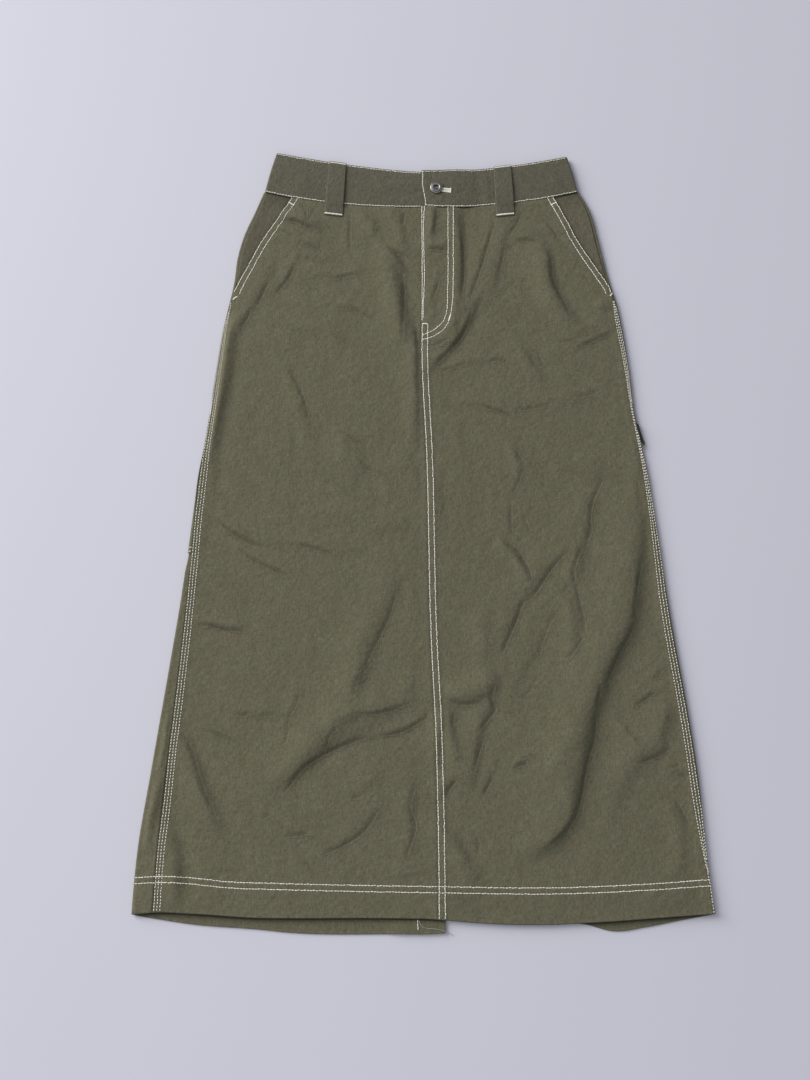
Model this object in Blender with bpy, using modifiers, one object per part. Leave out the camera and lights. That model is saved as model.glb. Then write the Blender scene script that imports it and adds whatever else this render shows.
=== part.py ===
"""Long carpenter skirt in olive cotton twill, laid flat on its back with the front up.

The skirt is a tube lying on the ground at z = 0. Its two back panels lie on the ground, turn up
round the folds at both sides and meet the two front panels at the side seams. +X is the wearer's
left, +Y runs up to the waist and +Z comes up off the ground. Every cloth piece is a surface worked
out from the tables below, in millimetres, and gets its wall from a Solidify modifier.
"""

import math
from collections import namedtuple

import bpy
import numpy as np

MM = 0.001

# Walls and gaps, in millimetres
CLOTH = 1.2
HEM_WALL = 1.8
BAND_WALL = 2.4
POCKET_WALL = 1.0
STRAP_WALL = 1.4
SEAM_GAP = 0.3

# Length and width, in millimetres
WAIST_HALF = 190.0
BAND_TOP_LEFT = 176.7
BAND_TOP_RIGHT = 177.9
BAND_TOP_CENTRE_Y = 432.0
BAND_TOP_RISE = 24.0
BAND_SEAM_CENTRE_Y = 386.5
BAND_SEAM_RISE = 20.5
HEM_LINE_Y = -399.0
HEM_STEP = 0.5

# Heights of the layers at the waist, in millimetres
BAND_BASE = 1.8
BAND_TOP = 7.5
OVERLAP_LIFT = 2.7
OVERLAP_RISE = 2.6
OVERLAP_END_X = -0.4
OVERLAP_SOLE_X = 34.0
OVERLAP_FADE_X = 72.0
UNDERLAP_END_X = 30.0

# Fly, pockets, vent and trimmings, in millimetres
FLY_WIDTH = 37.0
FLY_BOTTOM_Y = 224.0
FLY_LIFT = 2.1
ZIP_HALF_WIDTH = 12.0
ZIP_TOP_Y = 380.0
ZIP_BOTTOM_Y = 236.0
ZIP_WALL = 1.2
POCKET_DROP = 1.65
POCKET_CORNER_Y = 275.0
BAG_BOTTOM_Y = 214.0
BAG_REACH = 92.0
CENTRE_BACK_X = -8.0
VENT_TOP_Y = -150.0
VENT_END_X = 23.6
VENT_LIFT = 2.1
VENT_RAMP = 16.0
TOOL_POCKET_TOP_Y = 125.0
TOOL_POCKET_BOTTOM_Y = -40.0
TOOL_POCKET_WIDTH = 92.0
TOOL_POCKET_LIFT = 1.4
HAMMER_LOOP_Y = 100.0
HAMMER_LOOP_WIDTH = 26.0
HAMMER_LOOP_LENGTH = 130.0
HAMMER_LOOP_RISE = 0.16
HAMMER_LOOP_LIFT = 1.7
HAMMER_LOOP_BULGE = 5.0
BUTTON_X = 17.2
BUTTON_Y = 410.0
BUTTON_DIAMETER = 15.6
BUTTON_HEIGHT = 2.8
LOOP_WIDTH = 22.5
LOOP_HANG = 16.0
LOOP_BULGE = 1.6

# Outline of the laid skirt below the waistband seam, from the waist to the hem.
# left, right: x of the two side folds. left_seam, right_seam: how far in from the fold each side
# seam lies on top. base: height of the front over the ground. left_top, right_top: its height at
# the side folds.
Station = namedtuple("Station", "y left right left_seam right_seam base left_top right_top")
STATIONS = (
    Station(410, -189.6, 189.8, 3.5, 3.5, 7.0, 7.0, 7.0),
    Station(380, -201.3, 204.4, 3.5, 3.5, 7.0, 7.0, 7.0),
    Station(350, -213.6, 211.6, 3.5, 3.5, 7.0, 6.9, 6.9),
    Station(320, -221.2, 218.0, 3.5, 3.5, 6.8, 6.6, 6.6),
    Station(290, -224.4, 225.0, 3.5, 3.5, 6.3, 6.1, 6.1),
    Station(265, -229.0, 231.9, 3.5, 3.5, 6.0, 5.5, 5.6),
    Station(230, -236.0, 238.3, 3.5, 3.5, 5.6, 4.9, 5.2),
    Station(180, -242.6, 244.4, 3.5, 3.5, 5.4, 4.9, 5.2),
    Station(130, -248.2, 248.6, 3.5, 3.5, 5.3, 5.0, 5.3),
    Station(90, -253.3, 255.0, 3.5, 3.5, 5.2, 5.0, 5.4),
    Station(50, -259.8, 261.9, 3.5, 3.5, 5.1, 5.0, 5.4),
    Station(20, -262.6, 265.7, 3.7, 3.5, 5.0, 5.0, 5.3),
    Station(-35, -267.9, 272.1, 4.6, 3.5, 5.0, 5.0, 5.4),
    Station(-90, -273.9, 277.9, 7.0, 3.5, 5.0, 5.0, 5.5),
    Station(-150, -281.8, 285.7, 10.4, 3.5, 5.0, 5.0, 5.7),
    Station(-220, -291.4, 295.4, 14.0, 3.5, 5.0, 5.0, 5.9),
    Station(-290, -301.0, 303.4, 18.0, 3.8, 5.1, 5.0, 6.0),
    Station(-370, -311.6, 308.6, 22.5, 4.3, 5.3, 5.1, 6.1),
    Station(-405, -313.9, 311.3, 23.2, 4.6, 6.2, 5.3, 6.3),
    Station(-440, -315.3, 315.0, 23.4, 4.6, 6.2, 5.4, 6.4),
)

# Centre front, from the waist to the hem
CentrePoint = namedtuple("CentrePoint", "y x")
CENTRE_FRONT = (
    CentrePoint(400, -0.3),
    CentrePoint(254, -0.3),
    CentrePoint(197, -0.8),
    CentrePoint(81, 4.1),
    CentrePoint(-145, 8.8),
    CentrePoint(-229, 12.8),
    CentrePoint(-379, 15.7),
    CentrePoint(-445, 15.9),
)

# Slanted openings of the hip pockets, from the waist to the side seam
PocketPoint = namedtuple("PocketPoint", "y left right")
POCKET_OPENINGS = (
    PocketPoint(412, -150.5, 155.0),
    PocketPoint(399, -157.4, 160.5),
    PocketPoint(381, -167.8, 170.0),
    PocketPoint(340, -193.7, 189.6),
    PocketPoint(310, -208.6, 208.0),
    PocketPoint(292, -217.9, 219.4),
    PocketPoint(POCKET_CORNER_Y, -222.8, 225.4),
)

# Lower edges across the skirt. back_right is the wearer's right back, with the vent's flap.
HemPoint = namedtuple("HemPoint", "x front back")
HEMS = (
    HemPoint(-315, -437.0, -437.6),
    HemPoint(-290, -434.8, -441.5),
    HemPoint(-250, -436.2, -447.2),
    HemPoint(-176, -440.6, -452.8),
    HemPoint(-150, -440.8, -455.4),
    HemPoint(-25, -441.0, -457.3),
    HemPoint(10, -441.8, -457.2),
    HemPoint(24, -442.9, -456.3),
)
HEMS_LEFT = (
    HemPoint(-8, -441.2, -441.0),
    HemPoint(24, -442.9, -441.6),
    HemPoint(61, -445.8, -443.0),
    HemPoint(142, -447.3, -445.6),
    HemPoint(174, -445.8, -447.4),
    HemPoint(205, -444.0, -454.4),
    HemPoint(241, -441.4, -450.0),
    HemPoint(276, -438.9, -443.4),
    HemPoint(315, -436.2, -436.8),
)

# Largest folds of the front: a crest through three points, its height, and how far the cloth
# falls away on the side toward the upper left (near) and on the other side (far).
Fold = namedtuple("Fold", "x0 y0 x1 y1 x2 y2 height near far")
FOLDS = (
    Fold(80, 362, 66, 292, 14, 190, 3.4, 15, 9),
    Fold(46, 376, 45, 320, 46, 262, 1.8, 12, 9),
    Fold(142, 338, 154, 296, 174, 250, 2.0, 22, 18),
    Fold(-26, 345, -24, 290, -18, 225, 2.6, 26, 11),
    Fold(-158, 388, -150, 368, -132, 346, 1.3, 18, 16),
    Fold(42, 140, 100, 128, 204, 150, 2.6, 26, 12),
    Fold(118, 92, 152, 66, 206, 58, 2.6, 24, 16),
    Fold(202, 50, 168, -44, 86, -165, 3.4, 26, 13),
    Fold(248, -30, 216, -152, 182, -256, 6.2, 44, 15),
    Fold(184, -236, 172, -318, 128, -362, 5.4, 40, 15),
    Fold(74, -190, 60, -240, 52, -306, 3.6, 16, 12),
    Fold(-6, -202, -72, -228, -146, -292, 5.2, 34, 14),
    Fold(-36, -84, -60, -140, -82, -204, 3.6, 26, 12),
    Fold(-246, 4, -200, -28, -140, -62, 3.0, 20, 11),
    Fold(-250, -112, -224, -118, -196, -124, 1.8, 14, 9),
    Fold(-262, -222, -246, -276, -218, -336, 2.8, 18, 12),
    Fold(-126, -352, -96, -358, -58, -330, 2.6, 18, 12),
    Fold(-140, 210, -134, 150, -126, 96, 1.8, 24, 16),
    Fold(-76, 110, -48, 82, -14, 62, 2.2, 26, 18),
)
FOLD_SAMPLES = 25

# Fractions of the way across a front panel from its side edge to the centre front
FRONT_EDGE_STEPS = (0.0, 4.0, 10.0, 19.0, 32.0)
FRONT_INNER_COLUMNS = 14
FRONT_ROWS = 36
BACK_ROWS = 34
ARC_COLUMNS = 5
UNDER_COLUMNS = 7
RAMP_STEPS = (74.0, 48.0, 32.0, 16.0, 0.0)

LEFT, RIGHT = -1, 1


def column_of(rows, name):
    """One named column of a table as an array."""
    return np.array([getattr(row, name) for row in rows], float)


def smooth_table(rows, key, name, at):
    """Reads one column of a table at any position along its key, on a smooth curve.

    The curve is a cubic through the rows whose slopes are those between each row's neighbours.
    """
    keys = column_of(rows, key)
    values = column_of(rows, name)
    order = np.argsort(keys)
    keys, values = keys[order], values[order]
    slopes = np.gradient(values, keys)
    place = np.clip(np.asarray(at, float), keys[0], keys[-1])
    index = np.clip(np.searchsorted(keys, place) - 1, 0, len(keys) - 2)
    span = keys[index + 1] - keys[index]
    t = (place - keys[index]) / span
    start = values[index] * (1 + 2 * t) * (1 - t) ** 2 + slopes[index] * span * t * (1 - t) ** 2
    end = values[index + 1] * t**2 * (3 - 2 * t) + slopes[index + 1] * span * t**2 * (t - 1)
    return start + end


def step_up(value, low, high):
    """0 below low, 1 above high and a soft S between them."""
    t = np.clip((np.asarray(value, float) - low) / (high - low), 0.0, 1.0)
    return t * t * (3 - 2 * t)


def side_edge(side, y):
    """x of the side fold."""
    return smooth_table(STATIONS, "y", "left" if side == LEFT else "right", y)


def side_seam_inset(side, y):
    """How far the side seam lies in from the fold, along the top."""
    return smooth_table(STATIONS, "y", "left_seam" if side == LEFT else "right_seam", y)


def side_top(side, y):
    """Height of the front at the side fold."""
    return smooth_table(STATIONS, "y", "left_top" if side == LEFT else "right_top", y)


def centre_front(y):
    """x of the seam down the middle of the front."""
    return smooth_table(CENTRE_FRONT, "y", "x", y)


def pocket_opening(side, y):
    """x of the slanted edge of a hip pocket."""
    return smooth_table(POCKET_OPENINGS, "y", "left" if side == LEFT else "right", y)


def overlap_share(side, x):
    """1 where the waistband's end lies over the other end, 0 away from it."""
    if side == LEFT:
        return np.zeros_like(np.asarray(x, float))
    return 1 - step_up(x, OVERLAP_SOLE_X, OVERLAP_FADE_X)


def band_seam_y(side, x):
    """y of the seam under the waistband: a dip in the middle that rises to the side folds."""
    rise = BAND_SEAM_RISE * (np.abs(x) / WAIST_HALF) ** 2.3
    return BAND_SEAM_CENTRE_Y + rise + OVERLAP_RISE * overlap_share(side, x)


def band_top_y(side, x):
    """y of the waistband's upper edge."""
    rise = BAND_TOP_RISE * (np.abs(x) / BAND_TOP_LEFT) ** 1.45
    tilt = -1.2 * np.asarray(x, float) / BAND_TOP_LEFT
    return BAND_TOP_CENTRE_Y + rise + tilt + OVERLAP_RISE * overlap_share(side, x)


def fold_height(x, y):
    """Height that the folds add at each point of the front.

    Each fold is a crest along a curve through three points. Across it the cloth falls away as a
    bell, wide on the near side and steep on the far side, and along it the crest fades at its ends.
    """
    total = np.zeros_like(x)
    t = np.linspace(0.0, 1.0, FOLD_SAMPLES)
    for fold in FOLDS:
        middle_x = 2 * fold.x1 - 0.5 * (fold.x0 + fold.x2)
        middle_y = 2 * fold.y1 - 0.5 * (fold.y0 + fold.y2)
        crest_x = (1 - t) ** 2 * fold.x0 + 2 * t * (1 - t) * middle_x + t**2 * fold.x2
        crest_y = (1 - t) ** 2 * fold.y0 + 2 * t * (1 - t) * middle_y + t**2 * fold.y2
        run_x = np.gradient(crest_x)
        run_y = np.gradient(crest_y)
        length = np.hypot(run_x, run_y)
        normal_x, normal_y = -run_y / length, run_x / length
        turn = np.where(normal_x - 0.8 * normal_y < 0, -1.0, 1.0)
        away_x = x[..., None] - crest_x
        away_y = y[..., None] - crest_y
        nearest = np.argmin(away_x**2 + away_y**2, axis=-1)
        pick = nearest[..., None]
        distance = np.hypot(
            np.take_along_axis(away_x, pick, -1), np.take_along_axis(away_y, pick, -1)
        )[..., 0]
        across = np.take_along_axis(away_x * normal_x + away_y * normal_y, pick, -1)[..., 0]
        width = np.where(across * turn[nearest] > 0, fold.far, fold.near)
        fade = np.sqrt(np.clip(4 * t * (1 - t), 0.0, 1.0))[nearest]
        total += fold.height * (0.25 + 0.75 * fade) * np.exp(-((distance / width) ** 2))
    return total


def front_height(x, y):
    """Height of the front's upper face, with its folds settling down to the side folds."""
    base = smooth_table(STATIONS, "y", "base", y)
    height = base + fold_height(x, y)
    for side in (LEFT, RIGHT):
        inward = side * (side_edge(side, y) - x)
        settle = step_up(inward, 3.0, 22.0)
        height = side_top(side, y) + (height - side_top(side, y)) * settle
    return height + HEM_STEP * (1 - step_up(y, HEM_LINE_Y - 3, HEM_LINE_Y + 1))


def fly_lift(x, y):
    """How far the left front is raised where it lies over the zip."""
    across = 1 - step_up(x - centre_front(y), FLY_WIDTH, FLY_WIDTH + 9)
    down = step_up(y, FLY_BOTTOM_Y - 22, FLY_BOTTOM_Y + 2)
    return FLY_LIFT * across * down


def plateau(x, y, x_low, x_high, y_low, y_high, ramp_x, ramp_y):
    """1 inside a rectangle and 0 outside it, with soft sides."""
    across = step_up(x, x_low - ramp_x, x_low) * (1 - step_up(x, x_high, x_high + ramp_x))
    along = step_up(y, y_low - ramp_y, y_low) * (1 - step_up(y, y_high, y_high + ramp_y))
    return across * along


def back_base(x, y):
    """Height of the back's lower face, raised over the loops and the pocket that lie under it."""
    loops = BAND_BASE * step_up(y, 296, 340)
    tool_pocket = TOOL_POCKET_LIFT * plateau(
        x, y, -400, -130, TOOL_POCKET_BOTTOM_Y - 30, TOOL_POCKET_TOP_Y + 30, 50, 30
    )
    hammer_loop = HAMMER_LOOP_LIFT * plateau(x, y, 88, 400, 54, 156, 50, 30)
    return np.maximum(np.maximum(loops, tool_pocket), hammer_loop)


def vent_lift(x, y):
    """How far the vent's flap is raised over the other back panel."""
    down = 1 - step_up(y, VENT_TOP_Y + 8, VENT_TOP_Y + 48)
    flap = VENT_END_X - 3 * VENT_RAMP - 0.5
    return VENT_LIFT * down * step_up(x, flap - VENT_RAMP, flap)


def panel_fold_edge(side, y):
    """x of a back panel's own fold, inside the patch that wraps it."""
    patched = plateau(0, y, -1, 1, TOOL_POCKET_BOTTOM_Y, TOOL_POCKET_TOP_Y, 1, 26)
    shrink = TOOL_POCKET_LIFT * patched if side == LEFT else 0.0
    return side_edge(side, y) - side * shrink


def wrap(side, y, along):
    """x and z on the outside of a back panel, at a distance along it from its side fold.

    Positive distances run inward on top and negative ones inward on the ground. The fold is a half
    circle as tall as the tube is there.
    """
    pocket = step_up(y, POCKET_CORNER_Y - 12, POCKET_CORNER_Y)
    high = side_top(side, y) - POCKET_DROP * pocket
    edge = panel_fold_edge(side, y)
    low = back_base(edge, y)
    radius = (high - low) / 2
    quarter = radius * math.pi / 2
    angle = np.clip(along / quarter, -1, 1) * math.pi / 2
    run = np.maximum(np.abs(along) - quarter, 0)
    x = edge - side * (radius * (1 - np.cos(angle)) + run)
    arc = low + radius * (1 + np.sin(angle))
    top = front_height(x, y) - POCKET_DROP * pocket
    under = back_base(x, y) + (vent_lift(x, y) if side == LEFT else 0.0)
    return x, np.where(along > quarter, top, np.where(along < -quarter, under, arc))


def fold_quarter(side, y):
    """Length of a quarter of the side fold, from its outermost line to the ground."""
    pocket = step_up(y, POCKET_CORNER_Y - 12, POCKET_CORNER_Y)
    edge = panel_fold_edge(side, y)
    return (side_top(side, y) - POCKET_DROP * pocket - back_base(edge, y)) * math.pi / 4


def seam_along(side, y, gap):
    """Distance along the wrap, from the side fold, of a line that stops short of the side seam."""
    shrink = side * (side_edge(side, y) - panel_fold_edge(side, y))
    quarter = fold_quarter(side, y)
    return side_seam_inset(side, y) - gap - shrink + quarter * (1 - 2 / math.pi)


def row_y(fraction, x, top_y, hem_y):
    """y of a row that is the waist seam at fraction 0 and the hem at fraction 1."""
    return (1 - fraction) * top_y(x) + fraction * hem_y(x)


def settle_rows(fraction, guess, place, top_y, hem_y):
    """Finds x and y where a row meets a line given as x for each y."""
    x = np.full_like(fraction, guess)
    for _ in range(6):
        y = row_y(fraction, x, top_y, hem_y)
        x = place(y)
    return x, row_y(fraction, x, top_y, hem_y)


def row_fractions(count, top, bottom):
    """Evenly spaced rows, with a pair drawn to the step at the head of the hem."""
    fractions = np.linspace(0.0, 1.0, count)
    hem = (top - HEM_LINE_Y) / (top - bottom)
    order = np.argsort(np.abs(fractions - hem))[:2]
    upper, lower = np.sort(fractions[order])
    fractions[fractions == upper] = hem - 0.001
    fractions[fractions == lower] = hem + 0.005
    return fractions


def new_material(name, colour, roughness, metallic=0.0):
    """A plain Principled material."""
    material = bpy.data.materials.new(name)
    material.use_nodes = True
    shader = material.node_tree.nodes["Principled BSDF"]
    shader.inputs["Base Color"].default_value = (*colour, 1.0)
    shader.inputs["Roughness"].default_value = roughness
    shader.inputs["Metallic"].default_value = metallic
    return material


def new_object(name, mesh, material):
    """Puts a mesh in the skirt's collection under its own name."""
    thing = bpy.data.objects.new(name, mesh)
    mesh.materials.append(material)
    skirt.objects.link(thing)
    return thing


def first_column_up(points):
    """Whether rows crossed with columns look up (above 0) or down in a grid's first column."""
    down = points[1:, 0] - points[:-1, 0]
    across = points[:-1, 1] - points[:-1, 0]
    return np.cross(down, across)[:, 2].sum()


def cloth_piece(name, points, material, wall, facing, hem_wall=None):
    """Makes a cloth piece from a grid of points on its outer face, in millimetres.

    facing is 1 if the outer face looks up along the grid's first column and -1 if it looks down.
    The wall grows inward from the outer face, and with hem_wall it is thicker below the head of
    the hem.
    """
    rows, columns = points.shape[:2]
    index = np.arange(rows * columns).reshape(rows, columns)
    quads = np.stack(
        [index[:-1, :-1], index[1:, :-1], index[1:, 1:], index[:-1, 1:]], axis=-1
    ).reshape(-1, 4)
    flat = points.reshape(-1, 3)
    if first_column_up(points) * facing < 0:
        quads = quads[:, ::-1]
    mesh = bpy.data.meshes.new(name)
    mesh.from_pydata((flat * MM).tolist(), [], quads.tolist())
    mesh.shade_smooth()
    piece = new_object(name, mesh, material)
    solidify = piece.modifiers.new("Wall", "SOLIDIFY")
    solidify.offset = -1
    solidify.use_even_offset = True
    solidify.thickness = (hem_wall or wall) * MM
    if hem_wall:
        hem = piece.vertex_groups.new(name="Hem")
        below = np.flatnonzero(flat[:, 1] < HEM_LINE_Y)
        hem.add(below.tolist(), 1.0, "REPLACE")
        solidify.vertex_group = "Hem"
        solidify.thickness_vertex_group = wall / hem_wall
    return piece


def outward_normals(points, facing):
    """Unit normals of a grid of points, turned as facing says for its first column."""
    normals = np.cross(np.gradient(points, axis=0), np.gradient(points, axis=1))
    normals /= np.linalg.norm(normals, axis=-1, keepdims=True)
    return normals * facing * np.sign(first_column_up(points))


def front_panel(name, side, material):
    """One half of the front, from its side seam and pocket opening to the centre front."""
    hems = HEMS if side == LEFT else HEMS_LEFT

    def top_y(x):
        return band_seam_y(side, x) - SEAM_GAP / 2

    def hem_y(x):
        return smooth_table(hems, "x", "front", x)

    def side_line(y):
        seam = side_edge(side, y) - side * (side_seam_inset(side, y) + SEAM_GAP / 2)
        above = step_up(y, POCKET_CORNER_Y - 1, POCKET_CORNER_Y + 1)
        return seam + (pocket_opening(side, y) - seam) * above

    def centre_line(y):
        return centre_front(y) + side * SEAM_GAP / 2

    fractions = row_fractions(FRONT_ROWS, 395.0, -440.0)
    outer_x, outer_y = settle_rows(fractions, side * 200.0, side_line, top_y, hem_y)
    inner_x, inner_y = settle_rows(fractions, 0.0, centre_line, top_y, hem_y)
    steps = np.array(FRONT_EDGE_STEPS)
    share = np.linspace(0.0, 1.0, FRONT_INNER_COLUMNS)[1:]
    width = np.abs(outer_x - inner_x)[:, None]
    inward = np.concatenate(
        [np.broadcast_to(steps, (len(fractions), len(steps))),
         steps[-1] + share * (width - steps[-1])],
        axis=1,
    )
    x = outer_x[:, None] - side * inward
    y = row_y(fractions[:, None], x, top_y, hem_y)
    z = front_height(x, y)
    if side == RIGHT:
        z = z + fly_lift(x, y)
    return cloth_piece(name, np.stack([x, y, z], axis=-1), material, CLOTH, 1, HEM_WALL)


def back_columns(side, y, centre):
    """Distances along a back panel for each of its points, from the side seam to the centre back.

    The last columns stand one ramp apart, so that they follow the vent's flap.
    """
    quarter = fold_quarter(side, y)
    start = seam_along(side, y, SEAM_GAP)
    top_end = np.minimum(quarter, start - 1.0)
    radius = quarter * 2 / math.pi
    last = radius - quarter - side * (panel_fold_edge(side, y) - centre)
    along = np.empty_like(y)
    column = 0
    for share in np.linspace(0.0, 1.0, 3):
        along[:, column] = (start + (top_end - start) * share)[:, column]
        column += 1
    for share in np.linspace(0.0, 1.0, ARC_COLUMNS + 1)[1:]:
        along[:, column] = (top_end + (-quarter - top_end) * share)[:, column]
        column += 1
    for share in np.linspace(0.0, 1.0, UNDER_COLUMNS + 1)[1:-1]:
        along[:, column] = (-quarter + (last + RAMP_STEPS[0] + quarter) * share)[:, column]
        column += 1
    for ramp in RAMP_STEPS:
        along[:, column] = (last + ramp)[:, column]
        column += 1
    return along


def back_panel(name, side, material):
    """One half of the back: flat on the ground, round the side fold and up to the side seam."""
    hems = HEMS if side == LEFT else HEMS_LEFT

    def top_y(x):
        return band_seam_y(LEFT, x) - SEAM_GAP / 2

    def hem_y(x):
        return smooth_table(hems, "x", "back", x)

    fractions = row_fractions(BACK_ROWS, 400.0, -448.0)
    columns = 3 + ARC_COLUMNS + UNDER_COLUMNS - 1 + len(RAMP_STEPS)
    y = row_y(fractions[:, None], side * 100.0, top_y, hem_y) + np.zeros(columns)
    for _ in range(6):
        flap = 1 - step_up(y[:, -1:], VENT_TOP_Y - 26, VENT_TOP_Y - 2)
        centre = CENTRE_BACK_X + side * SEAM_GAP / 2
        if side == LEFT:
            centre = centre + (VENT_END_X - centre) * flap
        along = back_columns(side, y, centre)
        x, _ = wrap(side, y, along)
        y = row_y(fractions[:, None], x, top_y, hem_y)
    x, z = wrap(side, y, along)
    return cloth_piece(name, np.stack([x, y, z], axis=-1), material, CLOTH, 1, HEM_WALL)


def hip_pocket(name, side, material):
    """The piece behind a slanted opening: it shows outside the opening and is the bag inside."""
    def top_y(x):
        return band_seam_y(side, x) - SEAM_GAP / 2

    def bottom_y(x):
        return BAG_BOTTOM_Y + 0.0 * x

    def outer_line(y):
        tucked = 1 - step_up(y, POCKET_CORNER_Y + 2, POCKET_CORNER_Y + 14)
        round_off = 20 * (1 - step_up(y, BAG_BOTTOM_Y, BAG_BOTTOM_Y + 34))
        inset = side_seam_inset(side, y) + SEAM_GAP + 8 * tucked + round_off
        return side_edge(side, y) - side * inset

    def inner_line(y):
        round_off = 26 * (1 - step_up(y, BAG_BOTTOM_Y, BAG_BOTTOM_Y + 40))
        return side * (side * side_edge(side, y) - BAG_REACH + round_off)

    fractions = np.linspace(0.0, 1.0, 14)
    outer_x, _ = settle_rows(fractions, side * 200.0, outer_line, top_y, bottom_y)
    inner_x, _ = settle_rows(fractions, side * 110.0, inner_line, top_y, bottom_y)
    share = np.linspace(0.0, 1.0, 9)
    x = outer_x[:, None] + (inner_x - outer_x)[:, None] * share
    y = row_y(fractions[:, None], x, top_y, bottom_y)
    z = front_height(x, y) - POCKET_DROP
    return cloth_piece(name, np.stack([x, y, z], axis=-1), material, POCKET_WALL, 1)


def fly_zip(name, material):
    """The closed zip under the fly: one strip of tape down the centre front."""
    y = np.linspace(ZIP_TOP_Y, ZIP_BOTTOM_Y, 13)[:, None]
    share = np.linspace(-1.0, 1.0, 5)
    x = centre_front(y) + share * ZIP_HALF_WIDTH
    y = np.broadcast_to(y, x.shape)
    z = front_height(x, y) - CLOTH - 2 * SEAM_GAP
    return cloth_piece(name, np.stack([x, y, z], axis=-1), material, ZIP_WALL, 1)


def band_top_height(side, x):
    """Height of the waistband's upper face, raised where its end lies over the other."""
    return BAND_TOP + OVERLAP_LIFT * overlap_share(side, x)


def waistband(name, side, material):
    """Half of the waistband, from its front end round the side fold to the centre back."""
    top_half = BAND_TOP_LEFT if side == LEFT else BAND_TOP_RIGHT
    front_end = UNDERLAP_END_X if side == LEFT else OVERLAP_END_X
    back_end = CENTRE_BACK_X + side * SEAM_GAP / 2
    radius = (BAND_TOP - BAND_BASE) / 2
    climb = np.linspace(0.0, 1.0, 6)[:, None]
    edge = side * (WAIST_HALF + (top_half - WAIST_HALF) * climb)
    share = np.linspace(0.0, 1.0, 14)
    top_x = front_end + (edge - side * radius - front_end) * share
    angle = np.linspace(math.pi / 2, -math.pi / 2, 7)[1:-1]
    arc_x = edge - side * radius * (1 - np.cos(angle))
    share = np.linspace(0.0, 1.0, 9)
    under_x = edge - side * radius + (back_end - edge + side * radius) * share
    x = np.concatenate([top_x, arc_x, under_x], axis=1)
    arc_z = np.broadcast_to(BAND_BASE + radius * (1 + np.sin(angle)), arc_x.shape)
    z = np.concatenate(
        [band_top_height(side, top_x), arc_z, np.full_like(under_x, BAND_BASE)], axis=1
    )
    overlaid = np.arange(x.shape[1]) < top_x.shape[1]
    bottom = np.where(overlaid, band_seam_y(side, x), band_seam_y(LEFT, x)) + SEAM_GAP / 2
    top = np.where(overlaid, band_top_y(side, x), band_top_y(LEFT, x))
    y = bottom + (top - bottom) * climb
    return cloth_piece(name, np.stack([x, y, z], axis=-1), material, BAND_WALL, 1)


def front_loop(name, side, top_x, bottom_x, material):
    """A belt loop on the front: a strap that stands off the band between its two ends."""
    climb = np.linspace(0.0, 1.0, 12)[:, None]
    centre = bottom_x + (top_x - bottom_x) * climb
    x = centre + np.linspace(-0.5, 0.5, 5) * LOOP_WIDTH
    bottom = band_seam_y(side, x) - LOOP_HANG
    y = bottom + (band_top_y(side, x) - 0.4 - bottom) * climb
    on_band = step_up(y, band_seam_y(side, x) - 5, band_seam_y(side, x) - 1)
    panel = front_height(x, y)
    if side == RIGHT:
        panel = panel + fly_lift(x, y)
    ground = panel + (band_top_height(side, x) - panel) * on_band
    crest = LOOP_BULGE * np.sin(math.pi * climb) ** 2
    z = ground + SEAM_GAP + STRAP_WALL + crest
    return cloth_piece(name, np.stack([x, y, z], axis=-1), material, STRAP_WALL, 1)


def back_loop(name, centre_x, material):
    """A belt loop on the back, flat between the band and the ground."""
    climb = np.linspace(0.0, 1.0, 5)[:, None]
    x = np.broadcast_to(centre_x + np.linspace(-0.5, 0.5, 3) * LOOP_WIDTH, (5, 3))
    bottom = band_seam_y(LEFT, x) - LOOP_HANG
    y = bottom + (band_top_y(LEFT, x) - 0.4 - bottom) * climb
    z = np.zeros_like(x)
    return cloth_piece(name, np.stack([x, y, z], axis=-1), material, STRAP_WALL, -1)


def tool_pocket(name, material):
    """The long patch pocket on the wearer's right back, sewn into the side seam."""
    y = np.linspace(TOOL_POCKET_TOP_Y, TOOL_POCKET_BOTTOM_Y, 12)[:, None]
    quarter = fold_quarter(LEFT, y[:, 0])
    start = seam_along(LEFT, y[:, 0], 0.4)
    arc = start + (-quarter - start) * np.linspace(0.0, 1.0, 7)[:, None]
    under = -quarter - (TOOL_POCKET_WIDTH - quarter) * np.linspace(0.0, 1.0, 6)[1:, None]
    along = np.concatenate([arc, under], axis=0).T
    x, z = wrap(LEFT, y, along)
    points = np.stack([x, np.broadcast_to(y, x.shape), z], axis=-1)
    points = points + outward_normals(points, 1) * TOOL_POCKET_LIFT
    points[..., 2] = np.maximum(points[..., 2], 0.0)
    return cloth_piece(name, points, material, POCKET_WALL, 1)


def hammer_loop(name, material):
    """The strap on the wearer's left back: out of the side seam, round the fold and under."""
    across = np.linspace(0.5, -0.5, 4)[:, None] * HAMMER_LOOP_WIDTH
    quarter = float(fold_quarter(RIGHT, HAMMER_LOOP_Y))
    start = float(seam_along(RIGHT, HAMMER_LOOP_Y, 0.4))
    arc = np.linspace(start, -quarter, 9)
    under = np.linspace(-quarter, -HAMMER_LOOP_LENGTH, 9)[1:]
    along = np.concatenate([arc, under])[None, :]
    y = HAMMER_LOOP_Y + across + HAMMER_LOOP_RISE * np.maximum(-along, 0)
    x, z = wrap(RIGHT, y, along + 0.0 * y)
    points = np.stack([x, y, z], axis=-1)
    points = points + outward_normals(points, 1) * HAMMER_LOOP_LIFT
    slack = np.sin(math.pi * np.clip((start - along) / (start + 14), 0, 1))
    points[..., 0] += HAMMER_LOOP_BULGE * slack
    points[..., 2] = np.maximum(points[..., 2], 0.0)
    return cloth_piece(name, points, material, STRAP_WALL, 1)


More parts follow.
